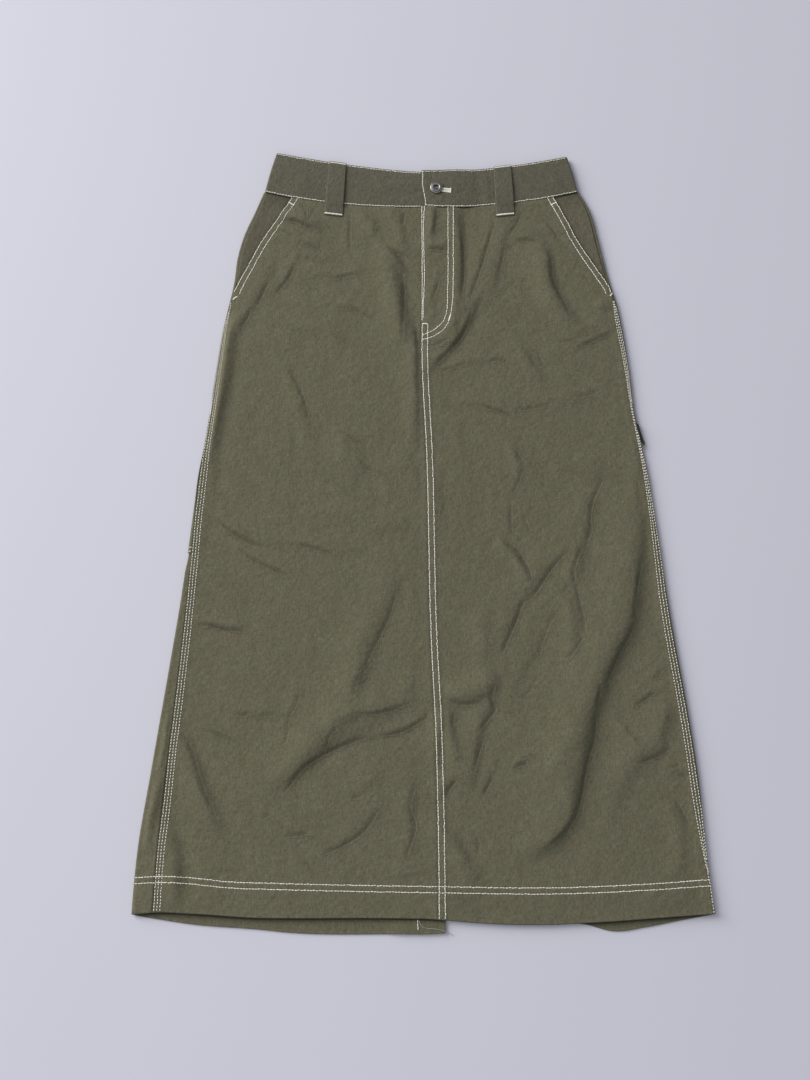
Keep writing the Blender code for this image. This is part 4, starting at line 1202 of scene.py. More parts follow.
class Wardrobe:
    """Makes each finish once and hands it out."""

    def __init__(self) -> None:
        """Builds the node groups that the finishes share."""
        self.twill, self.wash = twill_group(), wash_group()
        self.made: dict[str, Material] = {}

    def start(self, name: str, values: dict[str, float]) -> tuple[Nodes, Sequence[Socket]]:
        """Starts a material, and returns its nodes and its Principled shader's inputs, with values set.

        Args:
            name: The material's name.
            values: The shader's plain values.

        Returns:
            The nodes and the inputs.
        """
        material = bpy.data.materials.new(name)
        material.use_nodes = True
        self.made[name] = material
        surface = material.node_tree.nodes["Principled BSDF"].inputs
        for title, value in values.items():
            surface[title].default_value = value
        return Nodes(material.node_tree), surface

    def cloth(self, finish: ClothFinish) -> Material:
        """Twill: wash clouds, lighter worn edges, painted shade in creases and gaps, ribs in colour and in
        bump.

        Args:
            finish: The cloth's colours and values.

        Returns:
            The material.
        """
        if finish.name in self.made:
            return self.made[finish.name]
        nodes, surface = self.start(finish.name, {"Roughness": finish.roughness, "Sheen Roughness": 0.5,
                                                  "Sheen Weight": finish.sheen, "Specular IOR Level": 0.2})
        place = nodes.add("UVMap", uv_map="Cloth").outputs["UV"]
        wash, weave = (nodes.add("Group", {"Vector": place}, node_tree=group).outputs
                       for group in (self.wash, self.twill))
        washed = nodes.mix(nodes.maths("MULTIPLY", wash["Fade"], 0.5), finish.colour, finish.faded)
        deepened = nodes.mix(nodes.maths("MULTIPLY", wash["Deep"], 0.5), washed, finish.deep)
        browned = np.multiply(finish.colour, (1.16, 1.0, 0.92))
        tinted = nodes.mix(nodes.maths("MULTIPLY", wash["Tint"], 0.35), deepened, browned)
        patch = nodes.maths("MULTIPLY_ADD", wash["Fade"], 0.5, 0.45)
        worn = nodes.mix(nodes.maths("MULTIPLY", nodes.attribute("wear"), patch), tinted, finish.faded)
        ribbed = nodes.maths("MULTIPLY", weave["Rib"], 0.2)
        shadow = nodes.maths("MULTIPLY_ADD", wash["Yarn"], 0.84, ribbed)
        shown = nodes.mix(shadow, worn, np.multiply(finish.deep, 0.8))
        # Painted shade: along each crease line the colour is darkened towards near-black, besides the
        # crease's bump.
        gap, groove = nodes.attribute("crease_gap"), nodes.attribute("crease_depth")
        for first, last in ((-5.5, -0.2), (1.7, 0.2)):
            slope = nodes.add("MapRange", {"Value": gap, "From Min": first, "From Max": last},
                              interpolation_type="SMOOTHSTEP")
            groove = nodes.maths("MULTIPLY", slope.outputs["Result"], groove)
        black = np.multiply(finish.deep, 0.08)
        creased = nodes.mix(nodes.maths("MULTIPLY", groove, finish.crease_shade), shown, black)
        # Painted shade: the mark that a piece stores in its gaps and under its edges darkens the colour
        # towards the same near-black.
        nodes.feed(surface["Base Color"], nodes.mix(nodes.attribute("hollow"), creased, black))
        crease = nodes.bump(nodes.maths("MULTIPLY", groove, -1.0), 1.0, finish.crease_height)
        crumple = nodes.bump(wash["Crumple"], 0.55, finish.crumple_height, Normal=crease)
        ribs = nodes.bump(weave["Height"], 0.55, finish.weave_height, Normal=crumple)
        nodes.feed(surface["Normal"], ribs)
        return self.made[finish.name]

    def thread(self, finish: ThreadFinish) -> Material:
        """Thread: each stitch has its own shade, and its ply shows as fine slanting ribs.

        Args:
            finish: The thread's colours and values.

        Returns:
            The material.
        """
        if finish.name in self.made:
            return self.made[finish.name]
        nodes, surface = self.start(finish.name, {"Roughness": finish.roughness, "Sheen Weight": 0.2})
        shade = nodes.mix(nodes.attribute("shade"), finish.light, finish.grey)
        nodes.feed(surface["Base Color"], shade)
        ply = nodes.wave(nodes.add("TexCoord").outputs["Object"], "DIAGONAL", 420.0, 0.5)
        nodes.feed(surface["Normal"], nodes.bump(ply, 0.4, 0.0001))
        return self.made[finish.name]

    def metal(self, finish: MetalFinish) -> Material:
        """Metal: dark in its hollows, rubbed bright where it stands out, with fine scuffs.

        Args:
            finish: The metal's colours and values.

        Returns:
            The material.
        """
        nodes, surface = self.start(finish.name, {"Roughness": finish.roughness, "Metallic": 1.0})
        scuff = nodes.noise(nodes.add("TexCoord").outputs["Object"], 900.0, 4.0, 0.65)
        rubbed = nodes.maths("MULTIPLY", nodes.attribute("wear"), nodes.maths("ADD", scuff, 0.4))
        nodes.feed(surface["Base Color"], nodes.mix(rubbed, finish.dark, finish.light))
        nodes.feed(surface["Roughness"], nodes.maths("MULTIPLY_ADD", scuff, 0.35, 0.22))
        nodes.feed(surface["Normal"], nodes.bump(scuff, 0.25, 0.0002))
        return self.made[finish.name]

    def floor(self, finish: FloorFinish) -> Material:
        """The floor: plain, with a barely uneven tone.

        Args:
            finish: The floor's colour and values.

        Returns:
            The material.
        """
        nodes, surface = self.start(finish.name, {"Roughness": finish.roughness, "Specular IOR Level": 0.25})
        cloud = nodes.noise(nodes.add("TexCoord").outputs["Object"], 3.0, 2.0)
        share = nodes.maths("MULTIPLY", cloud, 0.12)
        darker = np.multiply(finish.colour, 0.9)
        nodes.feed(surface["Base Color"], nodes.mix(share, finish.colour, darker))
        return self.made[finish.name]


# ------------------------------------------------------------------------------------- the meshes


# How far out each side fold lies on the flat pattern.
FLAT_FOLD = 400.0


@dataclass
class Sheet:
    """A grid of points on the outer face of a cloth piece, with its flat pattern and its wear."""

    points: Array
    flat: Array
    wear: Array
    marks: dict[str, Array] = field(default_factory=dict)


def grid_faces(points: Array, upward: bool) -> Array:
    """Quads of a grid, turned so that its first column looks up, or down where upward is false.

    Args:
        points: The grid.
        upward: Which way it looks.

    Returns:
        The quads.
    """
    index = np.arange(points[..., 0].size).reshape(points.shape[:2])
    quads = np.stack([index[:-1, :-1], index[1:, :-1], index[1:, 1:], index[:-1, 1:]], -1).reshape(-1, 4)
    down = points[1:, 0] - points[:-1, 0]
    across = points[:-1, 1] - points[:-1, 0]
    looks_up = np.cross(down, across)[:, 2].sum() > 0
    return quads if looks_up == upward else quads[:, ::-1]


def new_mesh(name: str, points: Array, faces: Array) -> Mesh:
    """A mesh from points in millimetres and faces of equal size, put in with foreach_set.

    Args:
        name: Its name.
        points: Its points.
        faces: Its faces.

    Returns:
        The mesh.
    """
    mesh = bpy.data.meshes.new(name)
    size = faces.shape[1]
    mesh.vertices.add(len(points))
    mesh.vertices.foreach_set("co", np.ascontiguousarray(points * MM, np.float32).ravel())
    mesh.loops.add(faces.size)
    mesh.loops.foreach_set("vertex_index", np.ascontiguousarray(faces, np.int32).ravel())
    mesh.polygons.add(len(faces))
    mesh.polygons.foreach_set("loop_start", np.arange(0, faces.size, size, dtype=np.int32))
    mesh.update(calc_edges=True)
    mesh.shade_smooth()
    return mesh


def put_attribute(mesh: Mesh, name: str, values: Array) -> None:
    """Stores one number for each point of a mesh."""
    attribute = mesh.attributes.new(name, "FLOAT", "POINT")
    attribute.data.foreach_set("value", np.ascontiguousarray(values, np.float32).ravel())


def put_flat_pattern(mesh: Mesh, flat: Array) -> None:
    """Stores each point's place on the flat cut, in metres, as the UV map that the weave reads.

    Args:
        mesh: The mesh.
        flat: x and y on the flat cut, in millimetres.
    """
    layer = mesh.uv_layers.new(name="Cloth")
    corner = np.empty(len(mesh.loops), np.int32)
    mesh.loops.foreach_get("vertex_index", corner)
    layer.data.foreach_set("uv", np.ascontiguousarray(flat[corner] * MM, np.float32).ravel())


def in_scene(name: str, data: object) -> Piece:
    """Puts a mesh, a lamp or a camera in the scene as an object.

    Args:
        name: The object's name.
        data: What it shows.

    Returns:
        The object.
    """
    thing = bpy.data.objects.new(name, data)
    bpy.context.scene.collection.objects.link(thing)
    return thing


def place_object(name: str, mesh: Mesh, material: Material) -> Piece:
    """Puts a mesh in the scene at the origin, riding with the skirt.

    Args:
        name: The piece's name.
        mesh: Its mesh.
        material: Its finish.

    Returns:
        The piece.
    """
    mesh.materials.append(material)
    thing = in_scene(name, mesh)
    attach(thing, "root")
    return thing


def cloth_object(name: str, sheet: Sheet, wall: float, material: Material, upward: bool = True) -> Piece:
    """Turns a sheet into a closed shell.

    Args:
        name: The piece's name.
        sheet: Its outer face.
        wall: Thickness in millimetres, grown inward.
        material: Its cloth.
        upward: Whether the first column's outer face looks up.

    Returns:
        The piece.
    """
    mesh = new_mesh(name, sheet.points.reshape(-1, 3), grid_faces(sheet.points, upward))
    put_flat_pattern(mesh, sheet.flat.reshape(-1, 2))
    for mark, values in {"wear": np.clip(sheet.wear, 0.0, 1.0), **sheet.marks}.items():
        put_attribute(mesh, mark, np.broadcast_to(values, sheet.points.shape[:2]))
    piece = place_object(name, mesh, material)
    solidify = piece.modifiers.new("Wall", "SOLIDIFY")
    solidify.thickness = wall * MM
    solidify.offset = -1
    solidify.use_even_offset = True
    return piece


def spread(width: Array, near: Sequence[float], far: Sequence[float], count: int) -> Array:
    """Distances across a width: close steps at both edges and even ones between.

    Args:
        width: The width at each row.
        near: The steps' distances from the first edge.
        far: The same from the last edge, in the order in which they are met.
        count: How many even steps lie between.

    Returns:
        A row of distances for each width.
    """
    first = np.broadcast_to(near, (len(width), len(near)))
    last = width[:, None] - far
    share = np.linspace(0.0, 1.0, count + 2)[1:-1]
    between = first[:, -1:] + (last[:, :1] - first[:, -1:]) * share
    return np.concatenate([first, between, last], axis=1)


def crossing(share: Array, height: Callable[[Array, Array], Array], line: Callable[[Array], Array],
             guess: float) -> Array:
    """x at which rows cross a line that runs down the skirt, found in six rounds.

    Args:
        share: How far down each row lies, from 0 to 1.
        height: A row's y, from its share and x.
        line: The line's x, from y.
        guess: The first x.

    Returns:
        x for each row.
    """
    x = np.full_like(share, guess)
    for _ in range(6):
        x = line(height(share, x))
    return x


def normals_of(points: Array) -> Array:
    """Unit normals of a grid of points, looking up in its first column."""
    normals = unit(np.cross(np.gradient(points, axis=0), np.gradient(points, axis=1)))
    return normals if normals[:, 0, 2].sum() > 0 else -normals


def edge_roll(distance: Array, radius: float) -> Array:
    """How far a rounded edge has dropped, this far in from it: a quarter circle."""
    t = np.clip(1 - np.asarray(distance, float) / radius, 0.0, 1.0)
    return radius * (1 - np.sqrt(np.clip(1 - t * t, 0.0, 1.0)))


def lifted(points: Array, least: float = 0.0) -> Array:
    """A copy of points with none of them lower than this."""
    return joined(points[..., 0], points[..., 1], np.maximum(points[..., 2], least))


# ------------------------------------------------------------------------------------- the pieces


FLY_LINES = {
    "fly_edge_1": ((3.7, 386.0), (2.6, 365.0), (2.4, 352.6), (2.9, 323.0), (3.5, 291.0), (2.5, 268.2),
                   (1.6, 243.0)),
    "fly_curve_0": ((32.1, 386.0), (31.9, 350.0), (31.9, 314.0), (30.9, 278.3), (29.3, 249.3),
                    (25.1, 238.0), (19.2, 231.7), (12.0, 226.7), (6.1, 223.9), (0.4, 221.4)),
    "fly_curve_1": ((38.5, 386.0), (38.1, 340.0), (37.7, 291.0), (36.5, 262.4), (34.4, 247.1),
                    (32.2, 239.2), (29.8, 233.0), (22.7, 225.4), (14.4, 220.4), (6.1, 217.6), (0.6, 215.9)),
}
POCKET_FEET = {
    Side.RIGHT: ((-224.6, 266.6), (-222.6, 269.4), (-219.6, 270.6)),
    Side.LEFT: ((224.6, 271.4), (226.0, 273.2), (227.4, 275.2)),
}


@dataclass
class Rows:
    """The topstitching that crosses the fronts, as lines in x and y, and what it does to the cloth."""

    lie: Lie
    seam_gauge: float = 3.3
    pucker: float = 8.5
    pucker_drift: float = 31.0
    lines: dict[str, tuple[Array, Thread]] = field(default_factory=dict)

    def __post_init__(self) -> None:
        """Works out every line once."""
        lie = self.lie
        y = np.linspace(235.5, -444.0, 240)
        for number, inset in enumerate((1.3, 1.3 + GAUGE)):
            x = lie.centre(y) + inset
            self.add(f"centre_{number}", joined(x, y)[y > lie.hem(Side.LEFT, "front", x) + 1.2])
        self.add("centre_bar", ((0.3, 235.8), (6.9, 235.8)), Thread.TACK)
        y = np.linspace(386.0, 240.0, 60)
        self.add("fly_edge_0", joined(lie.centre(y) + 0.9, y))
        for name, corners in FLY_LINES.items():
            self.add(name, smooth_line(corners, 1.5))
        self.add("fly_tack", ((34.4, 247.0), (33.2, 243.0), (31.8, 238.8)), Thread.TACK)
        for side in Side:
            self.add_pocket(side)
            self.add_side_seam(side)
            start = float(lie.centre(-405.0)) + side.value * 0.4
            x = np.linspace(start, 310.4 if side is Side.LEFT else -312.4, 170)
            for number, drop in enumerate((0.0, GAUGE)):
                self.add(f"hem_{side.word}_{number}", joined(x, lie.hem_line(x) - drop))

    def add(self, name: str, line: Sequence, kind: Thread = Thread.TOPSTITCH) -> None:
        """Keeps a line."""
        self.lines[name] = (np.array(line), kind)

    def add_pocket(self, side: Side) -> None:
        """The two rows along a pocket opening, with a tack across their top and at their foot.

        Args:
            side: The wearer's side.
        """
        y = np.linspace(402.0, 276.5, 90)
        edge = joined(self.lie.opening(side, y), y)
        run_x, run_y = np.gradient(edge, axis=0).T
        normal = unit(joined(-run_y, run_x))
        normal *= np.sign(-side.value * normal[:, :1])
        for number, inset in enumerate((1.2, 1.2 + GAUGE)):
            self.add(f"pocket_{side.word}_{number}", edge + normal * inset)
        top = np.argmin(np.abs(y - 392.0))
        self.add(f"pocket_tack_{side.word}", edge[top] + normal[top] * [[0.4], [8.4]], Thread.TACK)
        self.add(f"pocket_foot_{side.word}", POCKET_FEET[side], Thread.TACK)

    def add_side_seam(self, side: Side) -> None:
        """The three rows that run beside a side seam.

        Args:
            side: The wearer's side.
        """
        lie = self.lie
        y = np.linspace(266.0, -443.0, 360)
        inmost, seam = lie.inmost_row(side, y), lie.seam_out(side, y)
        gauge = np.clip((seam - side.value * inmost) / 2, 1.1, self.seam_gauge)
        for number in range(3):
            x = inmost + side.value * gauge * number
            keep = (y > lie.hem(side, "front", x) + 1.0) & (side.value * x < seam + 0.2)
            starts = np.flatnonzero(np.diff(np.concatenate([[0], keep, [0]])))
            for part, (first, last) in enumerate(zip(starts[::2], starts[1::2])):
                if last - first > 3:
                    self.add(f"seam_{side.word}_{number}_{part}", joined(x, y)[first:last], Thread.SEAM)

    def press(self, x: Array, y: Array) -> Array:
        """How the rows pull the cloth down: a narrow valley along each and a faint pucker beside it.

        Args:
            x: Where to work it out.
            y: The same.

        Returns:
            The height that they add, mostly below 0.
        """
        flat_x, flat_y, shape = flattened(x, y)
        total = np.zeros_like(flat_x)
        for line, kind in self.lines.values():
            if kind is Thread.TACK:
                continue
            inside, distance, _, share = near_line(flat_x, flat_y, line[:: max(1, len(line) // 60)], 9.0)
            along = share * lengths_along(line)[-1]
            wave = np.sin(2 * math.pi * along / self.pucker + 2.0 * np.sin(along / self.pucker_drift))
            total[inside] -= 0.22 * bell(distance, 1.3) + 0.12 * wave * bell(distance, 4.5)
        return total.reshape(shape)


@dataclass
class Fronts:
    """The two halves of the front, from side seam and pocket opening to the centre front."""

    lie: Lie
    rows: Rows
    wall: float = 1.1
    edge_steps: tuple[float, ...] = (0.0, 0.5, 1.2, 2.1, 3.1, 4.2, 5.4, 6.6, 7.8, 9.0, 10.4, 12.0, 14.0)
    centre_steps: tuple[float, ...] = (12.0, 10.4, 9.2, 8.2, 7.0, 5.6, 4.2, 2.8, 1.8, 1.0, 0.4, 0.0)
    hem_steps: tuple[float, ...] = (0.0, 0.15, 0.4, 0.8, 1.3, 1.9)
    middle: int = 104
    row_count: int = 300
    length: float = 835.0

    def surface(self, side: Side, x: Array, y: Array) -> Array:
        """Height of a front's upper face with its seams: lie, fly, felled strips and stitch valleys.

        Args:
            side: The wearer's side.
            x: Where to work it out.
            y: The same.

        Returns:
            The height.
        """
        lie = self.lie
        z = lie.front(x, y) + self.rows.press(x, y)
        if side is Side.LEFT:
            inward = x - lie.centre(y)
            strip = step_up(inward, -0.2, 0.8) * (1 - step_up(inward, 8.6, 10.4))
            z = z + lie.fly(x, y) + 0.45 * strip * (1 - step_up(y, 216, 236))
        seam = lie.seam_out(side, y) - side.value * x
        below = 1 - step_up(y, lie.pocket_corner - 6, lie.pocket_corner + 2)
        return z + 0.4 * step_up(seam, -0.4, 0.9) * (1 - step_up(seam, 9.6, 11.6)) * below

    def build(self, side: Side, wardrobe: Wardrobe) -> Piece:
        """Makes one half of the front.

        Args:
            side: The wearer's side.
            wardrobe: Where the cloth comes from.

        Returns:
            The piece.
        """
        lie = self.lie
        sign = side.value
        share = np.unique(np.concatenate([
            np.linspace(0.0, 1.0, self.row_count), np.linspace(0.945, 0.997, 34),
            1 - np.array(self.hem_steps) / self.length]))

        def height(down: Array, x: Array) -> Array:
            """y of a row, from the band's seam to the hem."""
            return (1 - down) * (lie.band_bottom_y(side, x) + 0.4) + down * lie.hem(side, "front", x)

        def side_line(y: Array) -> Array:
            """x of the panel's outer edge: the pocket opening and then the side seam.

            Args:
                y: The height on the skirt.

            Returns:
                Its x.
            """
            seam = sign * lie.seam_out(side, y)
            above = step_up(y, lie.pocket_corner - 1, lie.pocket_corner + 1)
            return seam + (lie.opening(side, y) - seam) * above

        def centre_line(y: Array) -> Array:
            """x of the panel's inner edge, which runs on under the fly on the right."""
            return lie.centre(y) + 7.0 * step_up(y, 238, 250) * (side is Side.RIGHT)

        outer = crossing(share, height, side_line, sign * 200.0)
        width = np.abs(outer - crossing(share, height, centre_line, 0.0))
        inward = spread(width, self.edge_steps, self.centre_steps, self.middle)
        x = outer[:, None] - sign * inward
        y = height(share[:, None], x)
        from_hem, from_centre = y - lie.hem(side, "front", x), width[:, None] - inward
        if side is Side.LEFT:
            centre_drop = 0.8 * edge_roll(from_centre, 0.9)
        else:
            centre_drop = 0.5 * bell(from_centre, 1.4) * (1 - step_up(y, 238, 250))
        rolled = 0.8 * edge_roll(inward, 0.8) + centre_drop + 1.5 * edge_roll(from_hem, 1.5)
        edge_wear = 0.45 * bell(inward, 1.6) + 0.25 * bell(inward - 5.0, 4.5)
        centre_wear = 0.35 * bell(from_centre - 1.0, 1.6) + 0.2 * bell(from_centre - 4.5, 3.5)
        wear = 0.4 * bell(from_hem - 1.2, 1.6) + edge_wear + centre_wear
        # The crease lines, where the colour gets painted shade and the bump sinks.
        gap, depth = lie.creases(x, y)
        rows_in = sign * (x - lie.inmost_row(side, y))
        strip = step_up(rows_in, -1.8, -0.2) * (1 - step_up(y, 262.0, 270.0))
        # Painted shade: a dark line at the hem's edge, and a darker strip from the inmost seam row out to
        # the side seam, where the cloth rolls down.
        hollow = np.maximum(0.8 * bell(from_hem, 0.5), 0.18 * strip)
        sheet = Sheet(joined(x, y, self.surface(side, x, y) - rolled), joined(x, y), wear,
                      {"crease_gap": gap, "crease_depth": depth, "hollow": hollow})
        piece = cloth_object(f"{side.word}_front_panel", sheet, self.wall, wardrobe.cloth(TWILL))
        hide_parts(f"front_{side.word}")
        return piece


@dataclass
class Backs:
    """The two halves of the back: flat on the ground, round the side folds and up to the side seams."""

    lie: Lie
    wall: float = 1.1
    top_columns: int = 9
    arc_columns: int = 12
    under_columns: int = 58
    ramp_steps: tuple[float, ...] = (78.0, 64.0, 52.0, 44.0, 38.0, 32.0, 27.0, 22.0, 16.0, 10.0, 5.0,
                                     2.0, 0.8, 0.0)
    row_count: int = 230
    hem_valley: float = -404.0

    def seam_end(self, side: Side, y: Array, gap: float) -> Array:
        """Distance along the wrap from the side fold to a line that stops short of the side seam.

        Args:
            side: The wearer's side.
            y: The height on the skirt.
            gap: How far short.

        Returns:
            The distance.
        """
        lie = self.lie
        inset = side.value * lie.panel_edge(side, y) - lie.seam_out(side, y)
        return inset - gap + lie.fold_radius(side, y) * (math.pi / 2 - 1)

    def shares(self) -> tuple[Array, ...]:
        """How far along each part its columns lie: the top strip, the fold, the ground and the flap."""
        return (np.linspace(0.0, 1.0, self.top_columns), np.linspace(0.0, 1.0, self.arc_columns + 1)[1:],
                np.linspace(0.0, 1.0, self.under_columns + 1)[1:-1], np.array(self.ramp_steps))

    def columns(self, side: Side, y: Array, centre: Array) -> Array:
        """Distances along a back panel, from the side seam round the side fold to the centre back.

        Args:
            side: The wearer's side.
            y: The height of each of its points.
            centre: x of the centre back or the flap's edge in each row.

        Returns:
            The distance round the fold at each point.
        """
        lie = self.lie
        radius = lie.fold_radius(side, y)
        quarter = radius * math.pi / 2
        start = self.seam_end(side, y, 0.1)
        top_end = np.minimum(quarter, start - 1.0)
        last = radius - quarter - side.value * (lie.panel_edge(side, y) - centre)
        ends = ((start, top_end), (top_end, -quarter), (-quarter, last + self.ramp_steps[0]),
                (last, last + 1.0))
        along, column = [], 0
        for (first, end), values in zip(ends, self.shares()):
            here = slice(column, column + len(values))
            along.append(first[:, here] + (end - first)[:, here] * values)
            column += len(values)
        return np.concatenate(along, axis=1)

    def build(self, side: Side, wardrobe: Wardrobe) -> Piece:
        """Makes one half of the back.

        Args:
            side: The wearer's side.
            wardrobe: Where the cloth comes from.

        Returns:
            The piece.
        """
        lie = self.lie
        sign = side.value

        def hem_y(x: Array, along: Array) -> Array:
            """y of the lower edge: the front's on the strip that lies on top, the back's elsewhere."""
            back, front = lie.hem(side, "back", x), lie.hem(side, "front", x)
            return back + (front - back) * step_up(along, -7.0, 0.0)

        def height(x: Array, along: Array) -> Array:
            """y of every row, from the band's seam to the lower edge."""
            return (1 - share) * (lie.band_bottom_y(Side.RIGHT, x) - 0.1) + share * hem_y(x, along)

        share = np.unique(np.concatenate([
            np.linspace(0.0, 1.0, self.row_count), np.linspace(0.97, 1.0, 16),
            np.linspace(0.68, 0.72, 16)]))[:, None]
        y = height(sign * 100.0, -100.0) + np.zeros(sum(len(values) for values in self.shares()))
        for _ in range(6):
            flap = (1 - step_up(y[:, -1:], lie.vent_top - 26, lie.vent_top - 2)) * (side is Side.RIGHT)
            centre = lie.centre_back + sign * 0.1
            along = self.columns(side, y, centre + (lie.vent_edge - centre) * flap)
            y = height(lie.wrap(side, y, along)[0], along)
        x, z = lie.wrap(side, y, along)
        from_hem, on_ground = y - hem_y(x, along), along < 0
        press = 0.7 * edge_roll(from_hem, 0.9) + 0.12 * bell(y - self.hem_valley, 1.4)
        z = z + np.where(on_ground, press, -press)
        wear = 0.5 * bell(from_hem, 2.2) + 0.3 * bell(along, 2.5)
        # Painted shadow: on the part that lies on the ground, a darker strip just below the front's hem,
        # fading out under the front; it also shows on the face against the ground.
        below = y - lie.hem(side, "front", x)
        shade = 0.6 * step_up(below, -2.4, -0.4) + 0.25 * step_up(below, -7.0, -1.0)
        hollow = shade * (1 - step_up(below, 0.2, 2.6)) * on_ground
        sheet = Sheet(joined(x, y, z), joined(sign * (FLAT_FOLD + along), y), wear, {"hollow": hollow})
        piece = cloth_object(f"{side.word}_back_panel", sheet, self.wall, wardrobe.cloth(TWILL))
        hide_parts(f"back_{side.word}")
        return piece

    def runs(self) -> list[Run]:
        """The rows sewn on the back: centre back, the vent's edge and the hem.

        Returns:
            The rows.
        """
        lie = self.lie
        vent_x = -5.9
        y = np.linspace(383.0, lie.vent_top + 2, 200)
        runs = [self.under_run(lie.centre_back - inset, y, Side.RIGHT) for inset in (1.6, 1.6 + GAUGE)]
        runs.append(self.under_run(vent_x, np.linspace(lie.vent_top - 20, -455.0, 120), Side.RIGHT))
        y = np.linspace(-442.0, -453.2, 12)
        runs.append(Run(joined(vent_x, y, lie.under(Side.RIGHT, vent_x, y) + self.wall + 0.15), UP))
        for side in Side:
            x = np.linspace(side.value * 308.0, 22.0 if side is Side.RIGHT else -6.5, 180)
            for drop in (0.0, GAUGE):
                runs.append(self.under_run(x, -416.0 - drop + 8.0 * (np.abs(x) / 310.0) ** 2, side))
        return runs

    def under_run(self, x: Array, y: Array, side: Side) -> Run:
        """A row on the underside, with its thread let into the cloth so that it lies level."""
        return Run(joined(x, y, self.lie.under(side, x, y) + THREAD_LIFT), DOWN)


@dataclass
class HipPockets:
    """The piece behind each slanted opening, which shows outside the opening."""

    lie: Lie
    wall: float = 0.9
    bag_bottom: float = 214.0
    bag_reach: float = 92.0

    def build(self, side: Side, wardrobe: Wardrobe) -> Piece:
        """Makes one pocket piece, with its rounded bag under the front.

        Args:
            side: The wearer's side.
            wardrobe: Where the cloth comes from.

        Returns:
            The piece.
        """
        lie = self.lie
        sign = side.value
        share = np.linspace(0.0, 1.0, 90)

        def height(down: Array, x: Array) -> Array:
            """y of a row, from the band's seam to the bag's bottom."""
            return (1 - down) * (lie.band_bottom_y(side, x) + 0.4) + down * self.bag_bottom

        def outer(y: Array) -> Array:
            """x of the piece's outer edge, just inside the side fold.

            Args:
                y: The height on the skirt.

            Returns:
                Its x.
            """
            tucked = 1 - step_up(y, lie.pocket_corner + 2, lie.pocket_corner + 14)
            rounded = 20 * (1 - step_up(y, self.bag_bottom, self.bag_bottom + 34))
            return sign * (lie.seam_out(side, y) - 0.1 - 8 * tucked - rounded)

        def inner(y: Array) -> Array:
            """x of the bag's inner edge."""
            rounded = 26 * (1 - step_up(y, self.bag_bottom, self.bag_bottom + 40))
            return lie.edge(side, y) - sign * (self.bag_reach - rounded)

        first = crossing(share, height, outer, sign * 200.0)[:, None]
        last = crossing(share, height, inner, sign * 110.0)[:, None]
        x = first + (last - first) * np.linspace(0.0, 1.0, 44)
        y = height(share[:, None], x)
        open_edge = sign * (x - lie.opening(side, y))
        inside = step_up(open_edge, -3.0, 5.0)
        ripple = 0.2 * lie.waves.at(x + 40, y, 14.0, 30.0)
        z = lie.front(x, y) - lie.pocket_drop + (0.35 + ripple) * inside
        wear = 0.2 * inside * bell(sign * (lie.edge(side, y) - x) - 3.0, 3.0)
        # Painted shade: darker along the opening's edge, where the front's edge shades the facing, and under
        # the band; the right piece is also a little darker all over.
        hollow = 0.3 * bell(open_edge, 2.6) + 0.2 * bell(lie.band_bottom_y(side, x) + 0.4 - y, 14.0)
        hollow = hollow + 0.12 * (side is Side.RIGHT)
        sheet = Sheet(joined(x, y, z), joined(x, y), wear, {"hollow": hollow})
        piece = cloth_object(f"{side.word}_hip_pocket", sheet, self.wall, wardrobe.cloth(INNER_TWILL))
        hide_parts(f"hip_pocket_{side.word}")
        return piece


BAND_FALLS = lined(Fall, (
    (1.1, 3, 10, 8, -72, 430, -50, 419, -38, 402),
    (0.9, 3, 9, 8, -52, 412, -30, 409, -8, 408),
    (0.7, 3, 9, 8, -105, 420, -96, 408, -92, 398),
    (0.8, 2, 5, 5, 26, 396, 27, 391, 28, 388),
    (0.9, 4, 11, 9, 62, 432, 64, 412, 66, 392),
    (1.0, 2.5, 8, 6, 80, 432, 82, 412, 84, 392),
    (1.1, 3, 11, 8, 150, 441, 162, 430, 170, 418),
    (0.6, 3, 9, 8, 112, 410, 130, 405, 150, 408),
    (0.6, 4, 12, 9, -150, 440, -140, 425, -136, 408),
))


